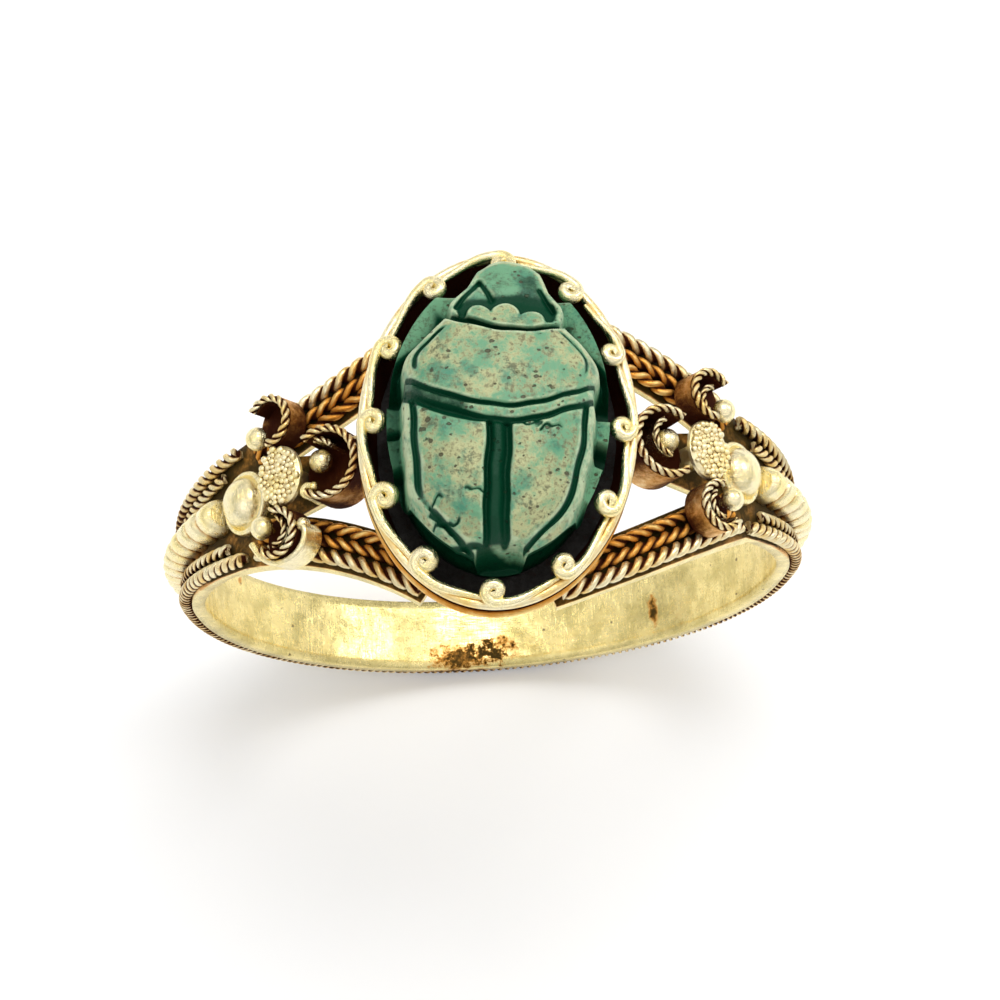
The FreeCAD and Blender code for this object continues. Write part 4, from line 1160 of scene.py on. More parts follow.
def build_balls():
    rosette = bpy.context.scene.ring_rosette
    radius = rosette.ball / 2
    seat = 0.26 * MM
    flat = math.cos(math.radians(22))
    spots = (
        (rosette.inner_ball_turn, rosette.inner_ball_along, 1, False),
        (rosette.outer_ball_turn, rosette.outer_ball_along, 1, True),
        (rosette.outer_ball_turn, rosette.outer_ball_along, -1, True),
    )
    for side_name, side in SIDES:
        shape = Shape()
        for turn, along, end, outer in spots:
            middle = petal_floor(outer) + seat + radius * flat
            stalk = [oval(radius * 0.4, radius * 0.4, height, 12)
                     for height in (petal_floor(outer), middle)]
            shape.seat(stalk, turn, along, side, end)
            shape.seat(ball_rings(middle, radius, flat), turn, along, side, end)
        name = "petal_balls_" + side_name
        show(name, shape.mesh(name), "Rubbed gold", ["balls_" + side_name])


def build_discs():
    rosette = bpy.context.scene.ring_rosette
    hoop = bpy.context.scene.ring_hoop
    sink = rosette.granule * 0.62
    top = rosette.disc_top - sink
    low = rosette.disc_top - rosette.disc_thickness
    edge = 0.10 * MM
    sides = 48
    for side_name, side in SIDES:
        plate = Shape()
        rings = [
            oval(0.36 * MM, 0.36 * MM, hoop.outer_radius, sides),
            oval(0.36 * MM, 0.36 * MM, low, sides),
            oval(rosette.disc_half_width, rosette.disc_half_length, low, sides),
            oval(rosette.disc_half_width, rosette.disc_half_length, top - edge, sides),
            oval(rosette.disc_half_width - edge, rosette.disc_half_length - edge, top, sides),
        ]
        plate.seat(rings, rosette.disc_turn, 0, side)
        face = Shape()
        rings = []
        for part in np.linspace(0.02, 1, 12):
            width = (rosette.disc_half_width - edge * 0.6) * part
            reach = (rosette.disc_half_length - edge * 0.6) * part
            rings.append(oval(width, reach, top, sides))
        face.skin(mirrored(placed(rings, rosette.disc_turn, 0), side))
        name = "granulation_" + side_name
        inputs = {
            "Granule": rosette.granule,
            "Gap": rosette.granule_gap,
            "Seed": 11 if side < 0 else 5,
            "Finish": bpy.data.materials["Grain gold"],
        }
        grains = grown(name, face.mesh(name + "_face"), bpy.data.node_groups["Granulation"], inputs)
        show(name, grains, "Grain gold", [])
        name = "disc_plate_" + side_name
        show(name, plate.mesh(name), "Grain gold", ["disc_" + side_name])


def build_leaves():
    rosette = bpy.context.scene.ring_rosette
    hoop = bpy.context.scene.ring_hoop
    low = hoop.outer_radius + GAP
    top = low + rosette.leaf_plate
    soft = 0.07 * MM
    profile = [(rosette.leaf_radius, low), (rosette.leaf_radius, top - soft),
               (rosette.leaf_radius - soft * 0.4, top - soft * 0.3), (rosette.leaf_radius - soft, top),
               (rosette.dome_radius + soft * 1.3, top),
               (rosette.dome_radius + soft * 0.6, top - soft * 0.9)]
    for step in range(11):
        polar = math.radians(90 - 86 * step / 10)
        profile.append((rosette.dome_radius * math.sin(polar), top + rosette.dome_height * math.cos(polar)))
    for side_name, side in SIDES:
        shape = Shape()
        rings = [oval(reach, reach, height, 48) for reach, height in profile]
        shape.seat(rings, rosette.leaf_turn, 0, side)
        name = "leaf_dome_" + side_name
        show(name, shape.mesh(name, 50), "Rubbed gold", ["leaf_" + side_name])


def rib_group():
    """Graduated ribs: a half-round section swept along the shoulder, swelling at each rib."""
    tree, given, made = new_group(
        "Graduated ribs",
        "Geometry",
        [
            ("Paths", "Geometry", None),
            ("Ribs", "Int", 10),
            ("First size", "Float", 0.58 * MM),
            ("Last size", "Float", 0.24 * MM),
            ("First height", "Float", 0.86 * MM),
            ("Last height", "Float", 0.80 * MM),
            ("Base", "Float", 9.165 * MM),
            ("Valley", "Float", 0.72),
            ("Spacing", "Float", 0.05 * MM),
            ("Finish", "Material", None),
        ],
        [("Ribs", "Geometry")],
    )
    curves = sampled_paths(tree, given)
    station = add(tree, "GeometryNodeSplineParameter").outputs["Factor"]
    size = ramp(tree, station, 0.0, 1.0, given["First size"], given["Last size"])
    tree.nodes[-1].interpolation_type = "LINEAR"
    tall = maths(tree, "MULTIPLY_ADD", maths(tree, "SUBTRACT", given["Last height"],
                                             given["First height"]), station, given["First height"])
    curves = stored(tree, curves, "rise", maths(tree, "DIVIDE", tall, size))
    phase = maths(tree, "MULTIPLY", maths(tree, "MULTIPLY", station, given["Ribs"]), math.pi)
    swell = maths(tree, "ABSOLUTE", maths(tree, "SINE", phase))
    between = maths(tree, "POWER", maths(tree, "SUBTRACT", 1.0, swell), 1.6)
    between = maths(tree, "MULTIPLY", between, ramp(tree, station, 0.02, 0.07))
    curves = stored(tree, curves, "valley", between)
    swell = maths(tree, "POWER", swell, 0.55)
    swell = ramp(tree, swell, 0.0, 1.0, given["Valley"], 1.0)
    radius = maths(tree, "MULTIPLY", size, swell)
    place = add(tree, "GeometryNodeInputPosition").outputs[0]
    outward = vector(tree, "NORMALIZE", vector(tree, "MULTIPLY", place, ACROSS))
    curves = add(tree, "GeometryNodeSetCurveNormal", {"Curve": curves, "Normal": outward},
                 mode="FREE").outputs[0]
    section = add(tree, "GeometryNodeCurvePrimitiveCircle", {"Resolution": 20, "Radius": 1.0}).outputs[0]
    corner = add(tree, "ShaderNodeSeparateXYZ", {0: add(tree, "GeometryNodeInputPosition").outputs[0]})
    up = maths(tree, "MAXIMUM", corner.outputs["X"], -0.02)
    shaped = add(tree, "ShaderNodeCombineXYZ", {"X": up, "Y": corner.outputs["Y"]}).outputs[0]
    section = add(tree, "GeometryNodeSetPosition", {"Geometry": section, "Position": shaped}).outputs[0]
    inputs = {"Curve": curves, "Profile Curve": section, "Scale": radius, "Fill Caps": True}
    swept = add(tree, "GeometryNodeCurveToMesh", inputs).outputs[0]
    place = add(tree, "GeometryNodeInputPosition").outputs[0]
    level = vector(tree, "MULTIPLY", place, ACROSS)
    above = maths(tree, "SUBTRACT", vector_length(tree, level), given["Base"])
    lift = maths(tree, "MULTIPLY", above, maths(tree, "SUBTRACT", named(tree, "rise"), 1.0))
    offset = scaled(tree, vector(tree, "NORMALIZE", level), lift)
    swept = add(tree, "GeometryNodeSetPosition", {"Geometry": swept, "Offset": offset}).outputs[0]
    finish_group(tree, swept, given, made["Ribs"])


def build_ribs():
    rosette = bpy.context.scene.ring_rosette
    hoop = bpy.context.scene.ring_hoop
    turn = np.linspace(rosette.rib_first_turn, rosette.rib_last_turn, 80)
    for side_name, side in SIDES:
        line = mirrored(on_hoop(turn, 0, hoop.outer_radius + GAP), side)
        name = "shoulder_ribs_" + side_name
        inputs = {
            "Ribs": rosette.rib_count,
            "First size": rosette.rib_first_width,
            "Last size": rosette.rib_last_width,
            "First height": rosette.rib_first_height,
            "Last height": rosette.rib_last_height,
            "Base": hoop.outer_radius + GAP,
            "Valley": rosette.rib_valley,
            "Spacing": 0.05 * MM,
            "Finish": bpy.data.materials["Rib gold"],
        }
        mesh = grown(name, paths_mesh(name + "_path", [(line, False, 1, 1)]),
                     bpy.data.node_groups["Graduated ribs"], inputs)
        show(name, mesh, "Rib gold", ["ribs_" + side_name])


# Scrolls of the left rosette: path in millimetres from the petal's middle, the petal, and the ball.
LEFT_SCROLLS = (
    (((0.95, 0.10), (0.62, 0.62), (0.05, 0.93), (-0.55, 0.86), (-0.95, 0.52), (-1.05, 0.12),
      (-0.88, -0.06)),
     math.radians(38.3), 1.70 * MM, -1, 0.42),
    (((0.55, 0.93), (0.74, 0.84), (0.80, 0.68), (0.66, 0.54), (0.48, 0.60)),
     math.radians(28.3), 0.0, -1, 0.28),
)


def spread(points, total):
    """Evenly spaced points along a smooth line through a few."""
    points = np.asarray(points, dtype=float)
    for _ in range(3):
        middle = np.empty((2 * len(points) - 2, 2))
        middle[0::2] = 0.75 * points[:-1] + 0.25 * points[1:]
        middle[1::2] = 0.25 * points[:-1] + 0.75 * points[1:]
        points = np.concatenate([points[:1], middle, points[-1:]])
    run = np.concatenate([[0], np.cumsum(np.hypot(*np.diff(points, axis=0).T))])
    at = np.linspace(0, run[-1], total)
    return np.column_stack([np.interp(at, run, points[:, 0]), np.interp(at, run, points[:, 1])])


def strip_rings(line, wall, low, high):
    """Sections of a strip that stands on edge along a line in plan."""
    line = np.asarray(line)
    run = np.gradient(line, axis=0)
    out = np.stack([run[:, 1], -run[:, 0]], axis=-1) / np.hypot(run[:, 0], run[:, 1])[:, None]
    soft = 0.02 * MM
    half = wall / 2
    section = ((-half, low), (half, low), (half, high - soft), (half - soft, high), (soft - half, high),
               (-half, high - soft))
    return np.stack([np.column_stack([line + out * reach, np.full(len(line), height)])
                     for reach, height in section], axis=1)


def build_scrolls():
    """Inner strips round the balls, and the two scrolls of the left rosette."""
    rosette = bpy.context.scene.ring_rosette
    wires = bpy.context.scene.ring_wires
    high = rosette.petal_top - rosette.strip_sink
    rosettes = {
        "right": (
            (rosette.inner_turn, 0.0, 1, (0.30, 0.22), 0.56, (112, 262), False),
            (rosette.outer_turn, rosette.outer_along, 1, (0.20, -0.12), 0.42, (88, 232), True),
            (rosette.outer_turn, rosette.outer_along, -1, (0.20, -0.12), 0.42, (88, 232), True),
        ),
        "left": (
            (rosette.inner_turn, 0.0, 1, (0.30, 0.22), 0.56, (84, 150), False),
            (rosette.outer_turn, rosette.outer_along, -1, (0.20, -0.12), 0.42, (88, 250), True),
        ),
    }
    for side_name, side in SIDES:
        walls, beads = Shape(), []
        for turn, along, end, centre, radius, (first, last), outer in rosettes[side_name]:
            angle = np.radians(np.linspace(first, last, 26))
            line = (np.array(centre) + radius * np.stack([np.cos(angle), np.sin(angle)], axis=-1)) * MM
            low = petal_floor(outer) + 0.15 * MM
            rings = strip_rings(line, rosette.strip_wall, low, high)
            walls.seat(rings, turn, along, side, end)
            top = np.column_stack([line, np.full(len(line), high + rosette.strip_bead * 0.4)])
            beads.append((mirrored(placed(top, turn, along), side, end), False, 1, 1))
        if side < 0:
            tops = []
            for path, turn, along, end, ball in LEFT_SCROLLS:
                line = spread(np.array(path) * MM, 30)
                low = petal_floor(True) + 0.02 * MM
                level = rosette.petal_top - 0.05 * MM
                rings = strip_rings(line, 0.15 * MM, low, level)
                walls.seat(rings, turn, along, side, end)
                tip = line[-1]
                grain = ball_rings(level - ball * MM * 0.2, ball * MM / 2) + np.array([tip[0], tip[1], 0])
                walls.seat(grain, turn, along, side, end)
                top = np.column_stack([line, np.full(len(line), level + 0.02 * MM)])
                tops.append((mirrored(placed(top, turn, along), side, end), False, 1, 1))
            plain_wire("scroll_edges_left", tops, 0.20 * MM, 0.06 * MM, "Rubbed gold", [])
        strips = "inner_strips_" + side_name
        show(strips, walls.mesh(strips), "Rubbed gold", [])
        twisted("inner_beads_" + side_name, beads, rosette.strip_bead, wires.rim_pitch * 0.85,
                "Twisted gold",
                "gold_wire", [])


def build_links():
    """The solder bars keep the CAD form."""
    for side_name, _ in SIDES:
        bar = frame["nodes"]["link_" + side_name]
        bar.data.materials.clear()
        bar.data.materials.append(bpy.data.materials["Rubbed gold"])


# Stone. Its form is worked out in millimetres from the middle of the collet.


def smooth(low, high, value):
    part = np.clip((value - low) / (high - low), 0, 1)
    return part * part * (3 - 2 * part)


def dip(distance, width):
    return np.exp(-((distance / width) ** 2))


# Outlines in plan: half width of the back and of the head by y, and the tail's edge by x.
BACK_Y = [-4.6, -4.25, -3.66, -2.76, -1.7, -0.9, 0.1, 0.42, 0.66, 1.14, 1.5, 1.86, 2.27, 2.5]
BACK_HALF = [0.70, 1.20, 1.80, 2.35, 2.55, 2.66, 2.70, 2.60, 2.70, 2.80, 2.66, 2.14, 1.72, 1.45]
HEAD_Y = [2.0, 2.4, 2.9, 3.1, 3.56, 4.2, 4.5, 4.68]
HEAD_HALF = [1.45, 1.52, 1.62, 1.58, 1.20, 0.92, 0.60, 0.15]
TAIL_X = [-2.0, -1.07, -0.64, -0.19, 0.44, 0.68, 0.94, 1.13, 1.47, 2.0]
TAIL_Y = [-3.7, -4.20, -4.32, -4.02, -3.90, -3.92, -4.10, -4.20, -4.05, -3.6]
# Legs on the ground round the back: middle and reach in degrees.
LEGS = ((-35.0, 17.0), (-6.0, 12.0), (-58.0, 9.0), (203.0, 14.0), (184.0, 12.0), (236.0, 10.0))


# Ragged cuts on the back, with their depth, and straight ones on the head, from point to point.
CRACKS = (
    ((-1.85, -3.0), (-1.45, -2.86), 0.16), ((-1.62, -3.55), (-1.0, -3.42), 0.20),
    ((-1.75, -3.25), (-1.15, -3.75), 0.18), ((1.1, -0.95), (1.6, -0.78), 0.14),
    ((0.55, -0.80), (1.15, -0.78), 0.12), ((-0.75, -2.75), (-0.42, -2.66), 0.12),
)
HEAD_LINES = (((-0.7, 3.8), (-1.3, 2.9)), ((-0.7, 3.8), (-0.33, 3.2)), ((1.0, 3.6), (1.42, 2.9)))
LOBES = ((-0.64, 2.54, 0.45), (0.08, 2.62, 0.50), (0.80, 2.46, 0.44))  # place and size on the head


def segment(x, y, x1, y1, x2, y2):
    """Distance to a short straight line in plan."""
    across, along = x2 - x1, y2 - y1
    part = np.clip(((x - x1) * across + (y - y1) * along) / (across**2 + along**2), 0, 1)
    return np.hypot(x - x1 - part * across, y - y1 - part * along)


def stone_edges(x, y):
    """How far each place stands proud of its surroundings: 1 on a rubbed edge."""
    step = 0.04
    columns = np.arange(-3.4, 3.4, step)
    rows = np.arange(-4.8, 5.0, step)
    height = stone_relief(*np.meshgrid(columns, rows))[0]
    level = height.copy()
    for _ in range(3):
        for axis in (0, 1):
            level = (np.roll(level, 1, axis) + level + np.roll(level, -1, axis)) / 3
    proud = height - level
    column = np.clip((x - columns[0]) / step, 0, len(columns) - 1.001)
    row = np.clip((y - rows[0]) / step, 0, len(rows) - 1.001)
    left, low = column.astype(int), row.astype(int)
    along, up = column - left, row - low
    found = (proud[low, left] * (1 - along) + proud[low, left + 1] * along) * (1 - up)
    found = found + (proud[low + 1, left] * (1 - along) + proud[low + 1, left + 1] * along) * up
    return smooth(0.006, 0.032, found)


def stone_relief(x, y):
    """Height of the stone in millimetres, with masks for the cut lines and the low ground; both masks also
    carry painted shade.
    """
    rho = np.hypot(x / 3.07, (y - 0.08) / 4.30)
    x, y = (x + 0.018 * np.sin(2.3 * y + 1.0) + 0.015 * np.sin(5.3 * y + 2.0 * x),
            y + 0.018 * np.sin(2.1 * x + 0.5) + 0.015 * np.sin(6.1 * x + 1.3 * y))
    dome = np.interp(rho, [0, 0.25, 0.56, 0.80, 0.955, 1.0, 1.1], [4.05, 4.02, 3.85, 3.44, 2.83, 2.45, 2.0])
    half = sum(np.interp(y + shift, BACK_Y, BACK_HALF) for shift in (-0.3, -0.15, 0, 0.15, 0.3)) / 5
    edge = np.minimum(half - np.abs(x), y - np.interp(x, TAIL_X, TAIL_Y))
    neck = 2.03 + 0.13 * (x - 0.28) ** 2
    edge = np.minimum(edge, neck - 0.02 - y)
    dome = dome - 0.22 * np.exp(-np.maximum(edge, 0) / 0.16)
    angle = np.degrees(np.arctan2(y - 0.08, x)) % 360
    leg = np.zeros_like(x)
    for middle, reach in LEGS:
        away = np.abs((angle - middle + 180) % 360 - 180)
        leg = np.maximum(leg, 1 - smooth(reach * 0.5, reach * 0.8, away))
    fore = smooth(0.6, 1.1, y) * (1 - smooth(3.5, 3.9, y))
    ground = 0.75 + 1.05 * leg
    ground = ground + (1.95 - ground) * fore
    ground = ground - 0.55 * fore * dip(edge + 0.10, 0.16)
    inside = smooth(-0.10, 0.07, edge)
    height = ground + (dome - ground) * inside
    carved_and_shaded = np.zeros_like(x)

    def cut(distance, width, depth, where):
        nonlocal height, carved_and_shaded
        mark = dip(distance, width) * where
        height = height - depth * mark
        carved_and_shaded = np.maximum(carved_and_shaded, np.clip(mark * depth / 0.16, 0, 1))

    on_back = smooth(-0.02, 0.10, edge)
    upper = -0.33 + 0.135 * x**2
    lower = -0.77 + 0.135 * x**2
    cut(y - upper, 0.065, 0.20, on_back)
    wider = 1 - smooth(-1.3, -0.2, x)
    cut(y - lower, 0.080 + 0.075 * wider, 0.20 + 0.10 * wider, on_back)
    band = smooth(-0.03, 0.05, upper - y) * smooth(-0.03, 0.05, y - lower)
    left_band = band * (1 - smooth(-1.1, -0.6, x))
    height = height - 0.10 * left_band
    carved_and_shaded = np.maximum(carved_and_shaded, 0.45 * left_band)
    wings = smooth(0.0, 0.08, lower - y) * on_back
    cut(x + 0.27 + 0.01 * y, 0.085, 0.26, wings)
    cut(x - 0.20 + 0.02 * y, 0.120, 0.26, wings)
    strip = smooth(-0.36, -0.28, x) * (1 - smooth(0.26, 0.34, x + 0.02 * y)) * wings
    height = height - 0.05 * strip
    carved_and_shaded = np.maximum(carved_and_shaded, 0.62 * strip)
    margin = half - 0.31 - 0.35 * smooth(-2.6, -4.2, y)
    left = (x < 0) * (1 - 0.75 * smooth(-2.3, -2.8, y) * (1 - smooth(-3.0, -3.3, y)))
    cut(np.abs(x) - margin, np.where(x < 0, 0.085, 0.075), 0.22, wings * np.where(x < 0, left, 1.0))
    cut(y + 4.02, 0.06, 0.16, on_back * (x < -0.3) * (x > -1.5))
    for (x1, y1), (x2, y2), depth in CRACKS:
        ragged = 0.05 * np.sin(7.0 * x + 9.0 * y) + 0.03 * np.sin(19.0 * x - 11.0 * y)
        cut(segment(x + ragged, y - ragged, x1, y1, x2, y2), 0.050, 0.7 * depth, on_back)
    thorax = smooth(0.0, 0.1, y - upper) * on_back
    side_line = np.abs(x) - (half - 0.36)
    cut(side_line, 0.07, 0.16, thorax * (x < 0) * smooth(0.7, 1.0, y) * (1 - smooth(1.9, 2.1, y)))
    cut(side_line + 0.05, 0.05, 0.09, thorax * (x > 0) * smooth(0.7, 1.0, y) * (1 - smooth(1.9, 2.1, y)))
    head_half = np.interp(y, HEAD_Y, HEAD_HALF)
    head_edge = np.minimum(head_half - np.abs(x - 0.1), y - neck - 0.02)
    head_edge = np.minimum(head_edge, 4.70 - y)
    plate = 3.32 - 0.46 * (y - 2.3) - 0.05 * (x - 0.1) ** 2
    plate = plate - 0.14 * np.exp(-np.maximum(head_edge, 0) / 0.12)
    lobes = np.zeros_like(x)
    for lobe_x, lobe_y, reach in LOBES:
        rise = np.where(y > lobe_y, y - lobe_y, 0.35 * (lobe_y - y))
        lobes = np.maximum(lobes, 1 - smooth(reach * 0.72, reach * 1.02, np.hypot(x - lobe_x, rise)))
    hollow = smooth(2.35, 2.6, y) * (1 - smooth(3.15, 3.75, y + 0.25 * np.abs(x - 0.5))) * (1 - lobes)
    hollow = hollow * smooth(0.12, 0.35, head_edge)
    plate = plate + 0.07 * lobes - 0.24 * hollow
    on_head = smooth(-0.10, 0.06, head_edge)
    height = np.maximum(height, height + (plate - height) * on_head)
    carved_and_shaded = np.maximum(carved_and_shaded, hollow * on_head * 0.95)
    # Painted shade: the head's right half is darkened towards teal.
    shade = smooth(-0.3, 0.8, x) * smooth(2.7, 3.1, y) * (1 - smooth(3.9, 4.5, y)) * (1 - lobes)
    carved_and_shaded = np.maximum(carved_and_shaded, 0.42 * shade * on_head * smooth(0.10, 0.35, head_edge))
    carved_and_shaded = np.maximum(carved_and_shaded, 0.20 * on_head * smooth(0.10, 0.35, head_edge) * (1 - lobes))
    for (x1, y1), (x2, y2) in HEAD_LINES:
        cut(segment(x, y, x1, y1, x2, y2), 0.075, 0.15, on_head)
    gap_half = 0.12 + 0.07 * (1 - smooth(-1.3, 0.6, x))
    gap = (1 - smooth(0.6 * gap_half, 1.3 * gap_half, np.abs(y - neck - 0.06))) * (np.abs(x) < 1.75)
    height = height - 0.35 * gap * smooth(-0.1, 0.1, 1.75 - np.abs(x))
    carved_and_shaded = np.maximum(carved_and_shaded, gap)
    tail = (1 - smooth(-4.06, -3.90, y)) * (1 - smooth(0.45, 0.65, np.abs(x - 0.1)))
    carved_and_shaded = np.maximum(carved_and_shaded, 0.95 * tail)
    # Painted shade on the low ground round the stone: lighter on the fore parts and on the right legs,
    # where light falls, and darker in a line along the fore parts' edge and behind the tail.
    sunken_shade = (1 - np.maximum(inside, on_head)) * (1 - 0.42 * fore) * (1 - 0.5 * leg * (0.3 + 0.7 * (x > 0)))
    sunken_shade = sunken_shade + 0.75 * (1 - np.maximum(inside, on_head)) * fore * dip(edge + 0.10, 0.30)
    behind = (1 - smooth(-4.15, -3.95, y)) * (1 - smooth(0.9, 1.2, np.abs(x - 0.1)))
    sunken_shade = sunken_shade + 0.6 * (1 - inside) * behind
    return height, carved_and_shaded, np.clip(sunken_shade, 0, 1)


# The stone's side below its relief: share of the edge's height, and reach.
SKIRT = ((0.93, 1.0), (0.80, 0.985), (0.55, 0.95), (0.38, 0.93), (0.30, 0.955), (0.06, 0.965),
         (0.0, 0.955))


def build_stone():
    stone = bpy.context.scene.ring_stone
    around, across = 420, 170
    angle = np.linspace(0, 2 * math.pi, around, endpoint=False)
    wide, tall = stone.half_width / MM + 0.05, stone.half_length / MM + 0.03
    rim_x = wide * np.cos(angle)
    rim_y = tall * np.sin(angle)
    head = dip((rim_x - 0.1) / 1.15, 1.0) * (rim_y > 0)
    rim_y = rim_y + 0.28 * head
    part = np.linspace(0.004, 1, across) ** 0.9
    x = part[:, None] * rim_x[None, :]
    y = part[:, None] * rim_y[None, :] + stone.centre_y / MM
    z, carved_and_shaded, sunken_shade = stone_relief(x, y)
    edge = stone_edges(x, y) * (1 - sunken_shade)
    skirt_z, skirt_x, skirt_y, skirt_sunken_shade = [], [], [], []
    for height_part, reach in SKIRT:
        ease = 1 - height_part
        base_x = stone.half_width / MM * np.cos(angle) * reach
        base_y = stone.half_length / MM * np.sin(angle) * reach
        pull = min(ease * 3, 1)
        skirt_x.append(rim_x * (1 - pull) + base_x * pull)
        skirt_y.append(rim_y * (1 - pull) + base_y * pull + stone.centre_y / MM)
        skirt_z.append(z[-1] * height_part)
        # Painted shade: the stone's sides below its relief darken towards the bottom.
        skirt_sunken_shade.append(np.clip(sunken_shade[-1] + 0.6 + ease, 0, 1))
    x = np.concatenate([x, skirt_x])
    y = np.concatenate([y, skirt_y])
    z = np.concatenate([z, skirt_z])
    # The sides are also painted teal as shade.
    carved_and_shaded = np.concatenate([carved_and_shaded, np.full((len(skirt_x), around), 0.9)])
    edge = np.concatenate([edge, np.zeros((len(skirt_x), around))])
    sunken_shade = np.concatenate([sunken_shade, skirt_sunken_shade])
    points = np.stack([x * MM, y * MM, stone.base + z * MM], axis=-1)
    shape = Shape()
    shape.skin(in_collet(points), closed=True)
    mesh = bpy.data.meshes.new("scarab_stone")
    mesh.from_pydata(shape.points, [], shape.faces)
    for name, values in (("carved_and_shaded", carved_and_shaded), ("sunken_shade", sunken_shade), ("edge", edge)):
        mask = mesh.attributes.new(name, "FLOAT", "POINT")
        mask.data.foreach_set("value", values.ravel().astype(np.float32))
    form = bmesh.new()
    form.from_mesh(mesh)
    bmesh.ops.recalc_face_normals(form, faces=form.faces)
    form.to_mesh(mesh)
    form.free()
    mesh.polygons.foreach_set("use_smooth", [True] * len(mesh.polygons))
    show("scarab_stone", mesh, "Scarab glaze", ["scarab"])


def build_bed():
    bed = frame["nodes"]["bed"]
    bed.data.materials.clear()
    bed.data.materials.append(bpy.data.materials["Dark resin"])


FLOOR_REACH = 1.5
PAPER = (0.93, 0.93, 0.93, 1)
PAPER_GLOW = 0.06  # seen by camera, glossy and transmission rays only
SKY_LEVEL_AT_HORIZON, SKY_LEVEL_ABOVE = 0.42, 0.90
LAMPS = (  # name, place in metres, diameter in metres, watts
    ("Window", (0.04, 0.13, 0.31), 0.20, 0.40),
    ("Fill", (-0.22, -0.08, 0.26), 0.20, 0.05),
    ("Side", (0.25, 0.10, 0.19), 0.12, 0.15),
)
# The photograph's camera: its directions, its distance from the finger hole's centre and its aim.
CAMERA_RIGHT = Vector((0.99707473, -0.07263085, 0.02380627))
CAMERA_UP = Vector((0.06167954, 0.94853915, 0.31059479))
CAMERA_BACK = Vector((-0.04513994, -0.30821785, 0.95024425))
CAMERA_DISTANCE = 0.120
AIM_RIGHT, AIM_UP = 0.0029876, 0.012961
LENS, SENSOR = 140.515, 36


def build_stage():
    scene = bpy.context.scene
    ground = cad_box[0][2]
    sheet = bpy.data.meshes.new("studio_floor")
    corners = [(x * FLOOR_REACH, y * FLOOR_REACH, ground)
               for x, y in ((-1, -1), (1, -1), (1, 1), (-1, 1))]
    sheet.from_pydata(corners, [], [(0, 1, 2, 3)])
    floor = bpy.data.objects.new("studio_floor", sheet)
    scene.collection.objects.link(floor)
    material = bpy.data.materials.new("Studio paper")
    material.use_nodes = True
    shader = material.node_tree.nodes["Principled BSDF"]
    shader.inputs["Base Color"].default_value = PAPER
    shader.inputs["Roughness"].default_value = 0.9
    shader.inputs["Specular IOR Level"].default_value = 0.1
    tree = material.node_tree
    rays = tree.nodes.new("ShaderNodeLightPath").outputs
    seen = maths(tree, "MAXIMUM", rays["Is Camera Ray"], rays["Is Glossy Ray"])
    seen = maths(tree, "MAXIMUM", seen, rays["Is Transmission Ray"])
    tree.links.new(maths(tree, "MULTIPLY", seen, PAPER_GLOW), shader.inputs["Emission Strength"])
    shader.inputs["Emission Color"].default_value = WHITE
    sheet.materials.append(material)
    world = bpy.data.worlds.new("Studio")
    scene.world = world
    world.use_nodes = True
    tree = world.node_tree
    tree.nodes.clear()
    direction = add(tree, "ShaderNodeTexCoord").outputs["Generated"]
    height = add(tree, "ShaderNodeSeparateXYZ", {0: direction}).outputs["Z"]
    level = ramp(tree, height, 0.0, 0.75, SKY_LEVEL_AT_HORIZON, SKY_LEVEL_ABOVE)
    light = add(tree, "ShaderNodeBackground", {"Color": WHITE, "Strength": level})
    output = tree.nodes.new("ShaderNodeOutputWorld")
    tree.links.new(light.outputs[0], output.inputs["Surface"])
    for name, place, size, power in LAMPS:
        lamp = bpy.data.lights.new(name, "AREA")
        lamp.shape = "DISK"
        lamp.size = size
        lamp.energy = power
        source = bpy.data.objects.new(name, lamp)
        source.location = place
        source.rotation_mode = "QUATERNION"
        source.rotation_quaternion = Vector(place).to_track_quat("Z", "Y")
        scene.collection.objects.link(source)
    data = bpy.data.cameras.new("Camera")
    camera = bpy.data.objects.new("Camera", data)
    scene.collection.objects.link(camera)
    aim = (CAMERA_RIGHT * AIM_RIGHT + CAMERA_UP * AIM_UP - CAMERA_BACK).normalized()
    camera_right = (CAMERA_RIGHT - aim * CAMERA_RIGHT.dot(aim)).normalized()
    camera_up = camera_right.cross(aim)
    turn = Matrix((camera_right, camera_up, -aim)).transposed()
    camera.matrix_world = Matrix.Translation(CAMERA_BACK * CAMERA_DISTANCE) @ turn.to_4x4()
    data.sensor_width = SENSOR
    data.lens = LENS
    data.clip_start = 0.005
    data.clip_end = 20
    scene.camera = camera
    scene.view_settings.view_transform = "Standard"


class SCARABRING_OT_finishes(bpy.types.Operator):
    """Make the metals, the glaze, the resin and the node trees"""

    bl_idname = "scarab_ring.finishes"
    bl_label = "Finishes"
    bl_options = {"REGISTER", "UNDO"}

    def execute(self, context):
        make_materials()
        wire_group("Twisted wire", True)
        wire_group("Round wire", False)
        granule_group()
        rib_group()
        return {"FINISHED"}


class SCARABRING_OT_hoop(bpy.types.Operator):
    """Make the hoop's sheet with its forked arms"""

    bl_idname = "scarab_ring.hoop"
    bl_label = "Hoop"
    bl_options = {"REGISTER", "UNDO"}

    def execute(self, context):
        build_hoop()
        return {"FINISHED"}


class SCARABRING_OT_hoop_wires(bpy.types.Operator):
    """Lay the twisted wires along the hoop"""

    bl_idname = "scarab_ring.hoop_wires"
    bl_label = "Hoop wires"
    bl_options = {"REGISTER", "UNDO"}

    def execute(self, context):
        build_hoop_wires()
        return {"FINISHED"}


class SCARABRING_OT_arm_wires(bpy.types.Operator):
    """Lay rope and braid on the four arms"""

    bl_idname = "scarab_ring.arm_wires"
    bl_label = "Arm wires"
    bl_options = {"REGISTER", "UNDO"}

    def execute(self, context):
        build_arm_wires()
        return {"FINISHED"}


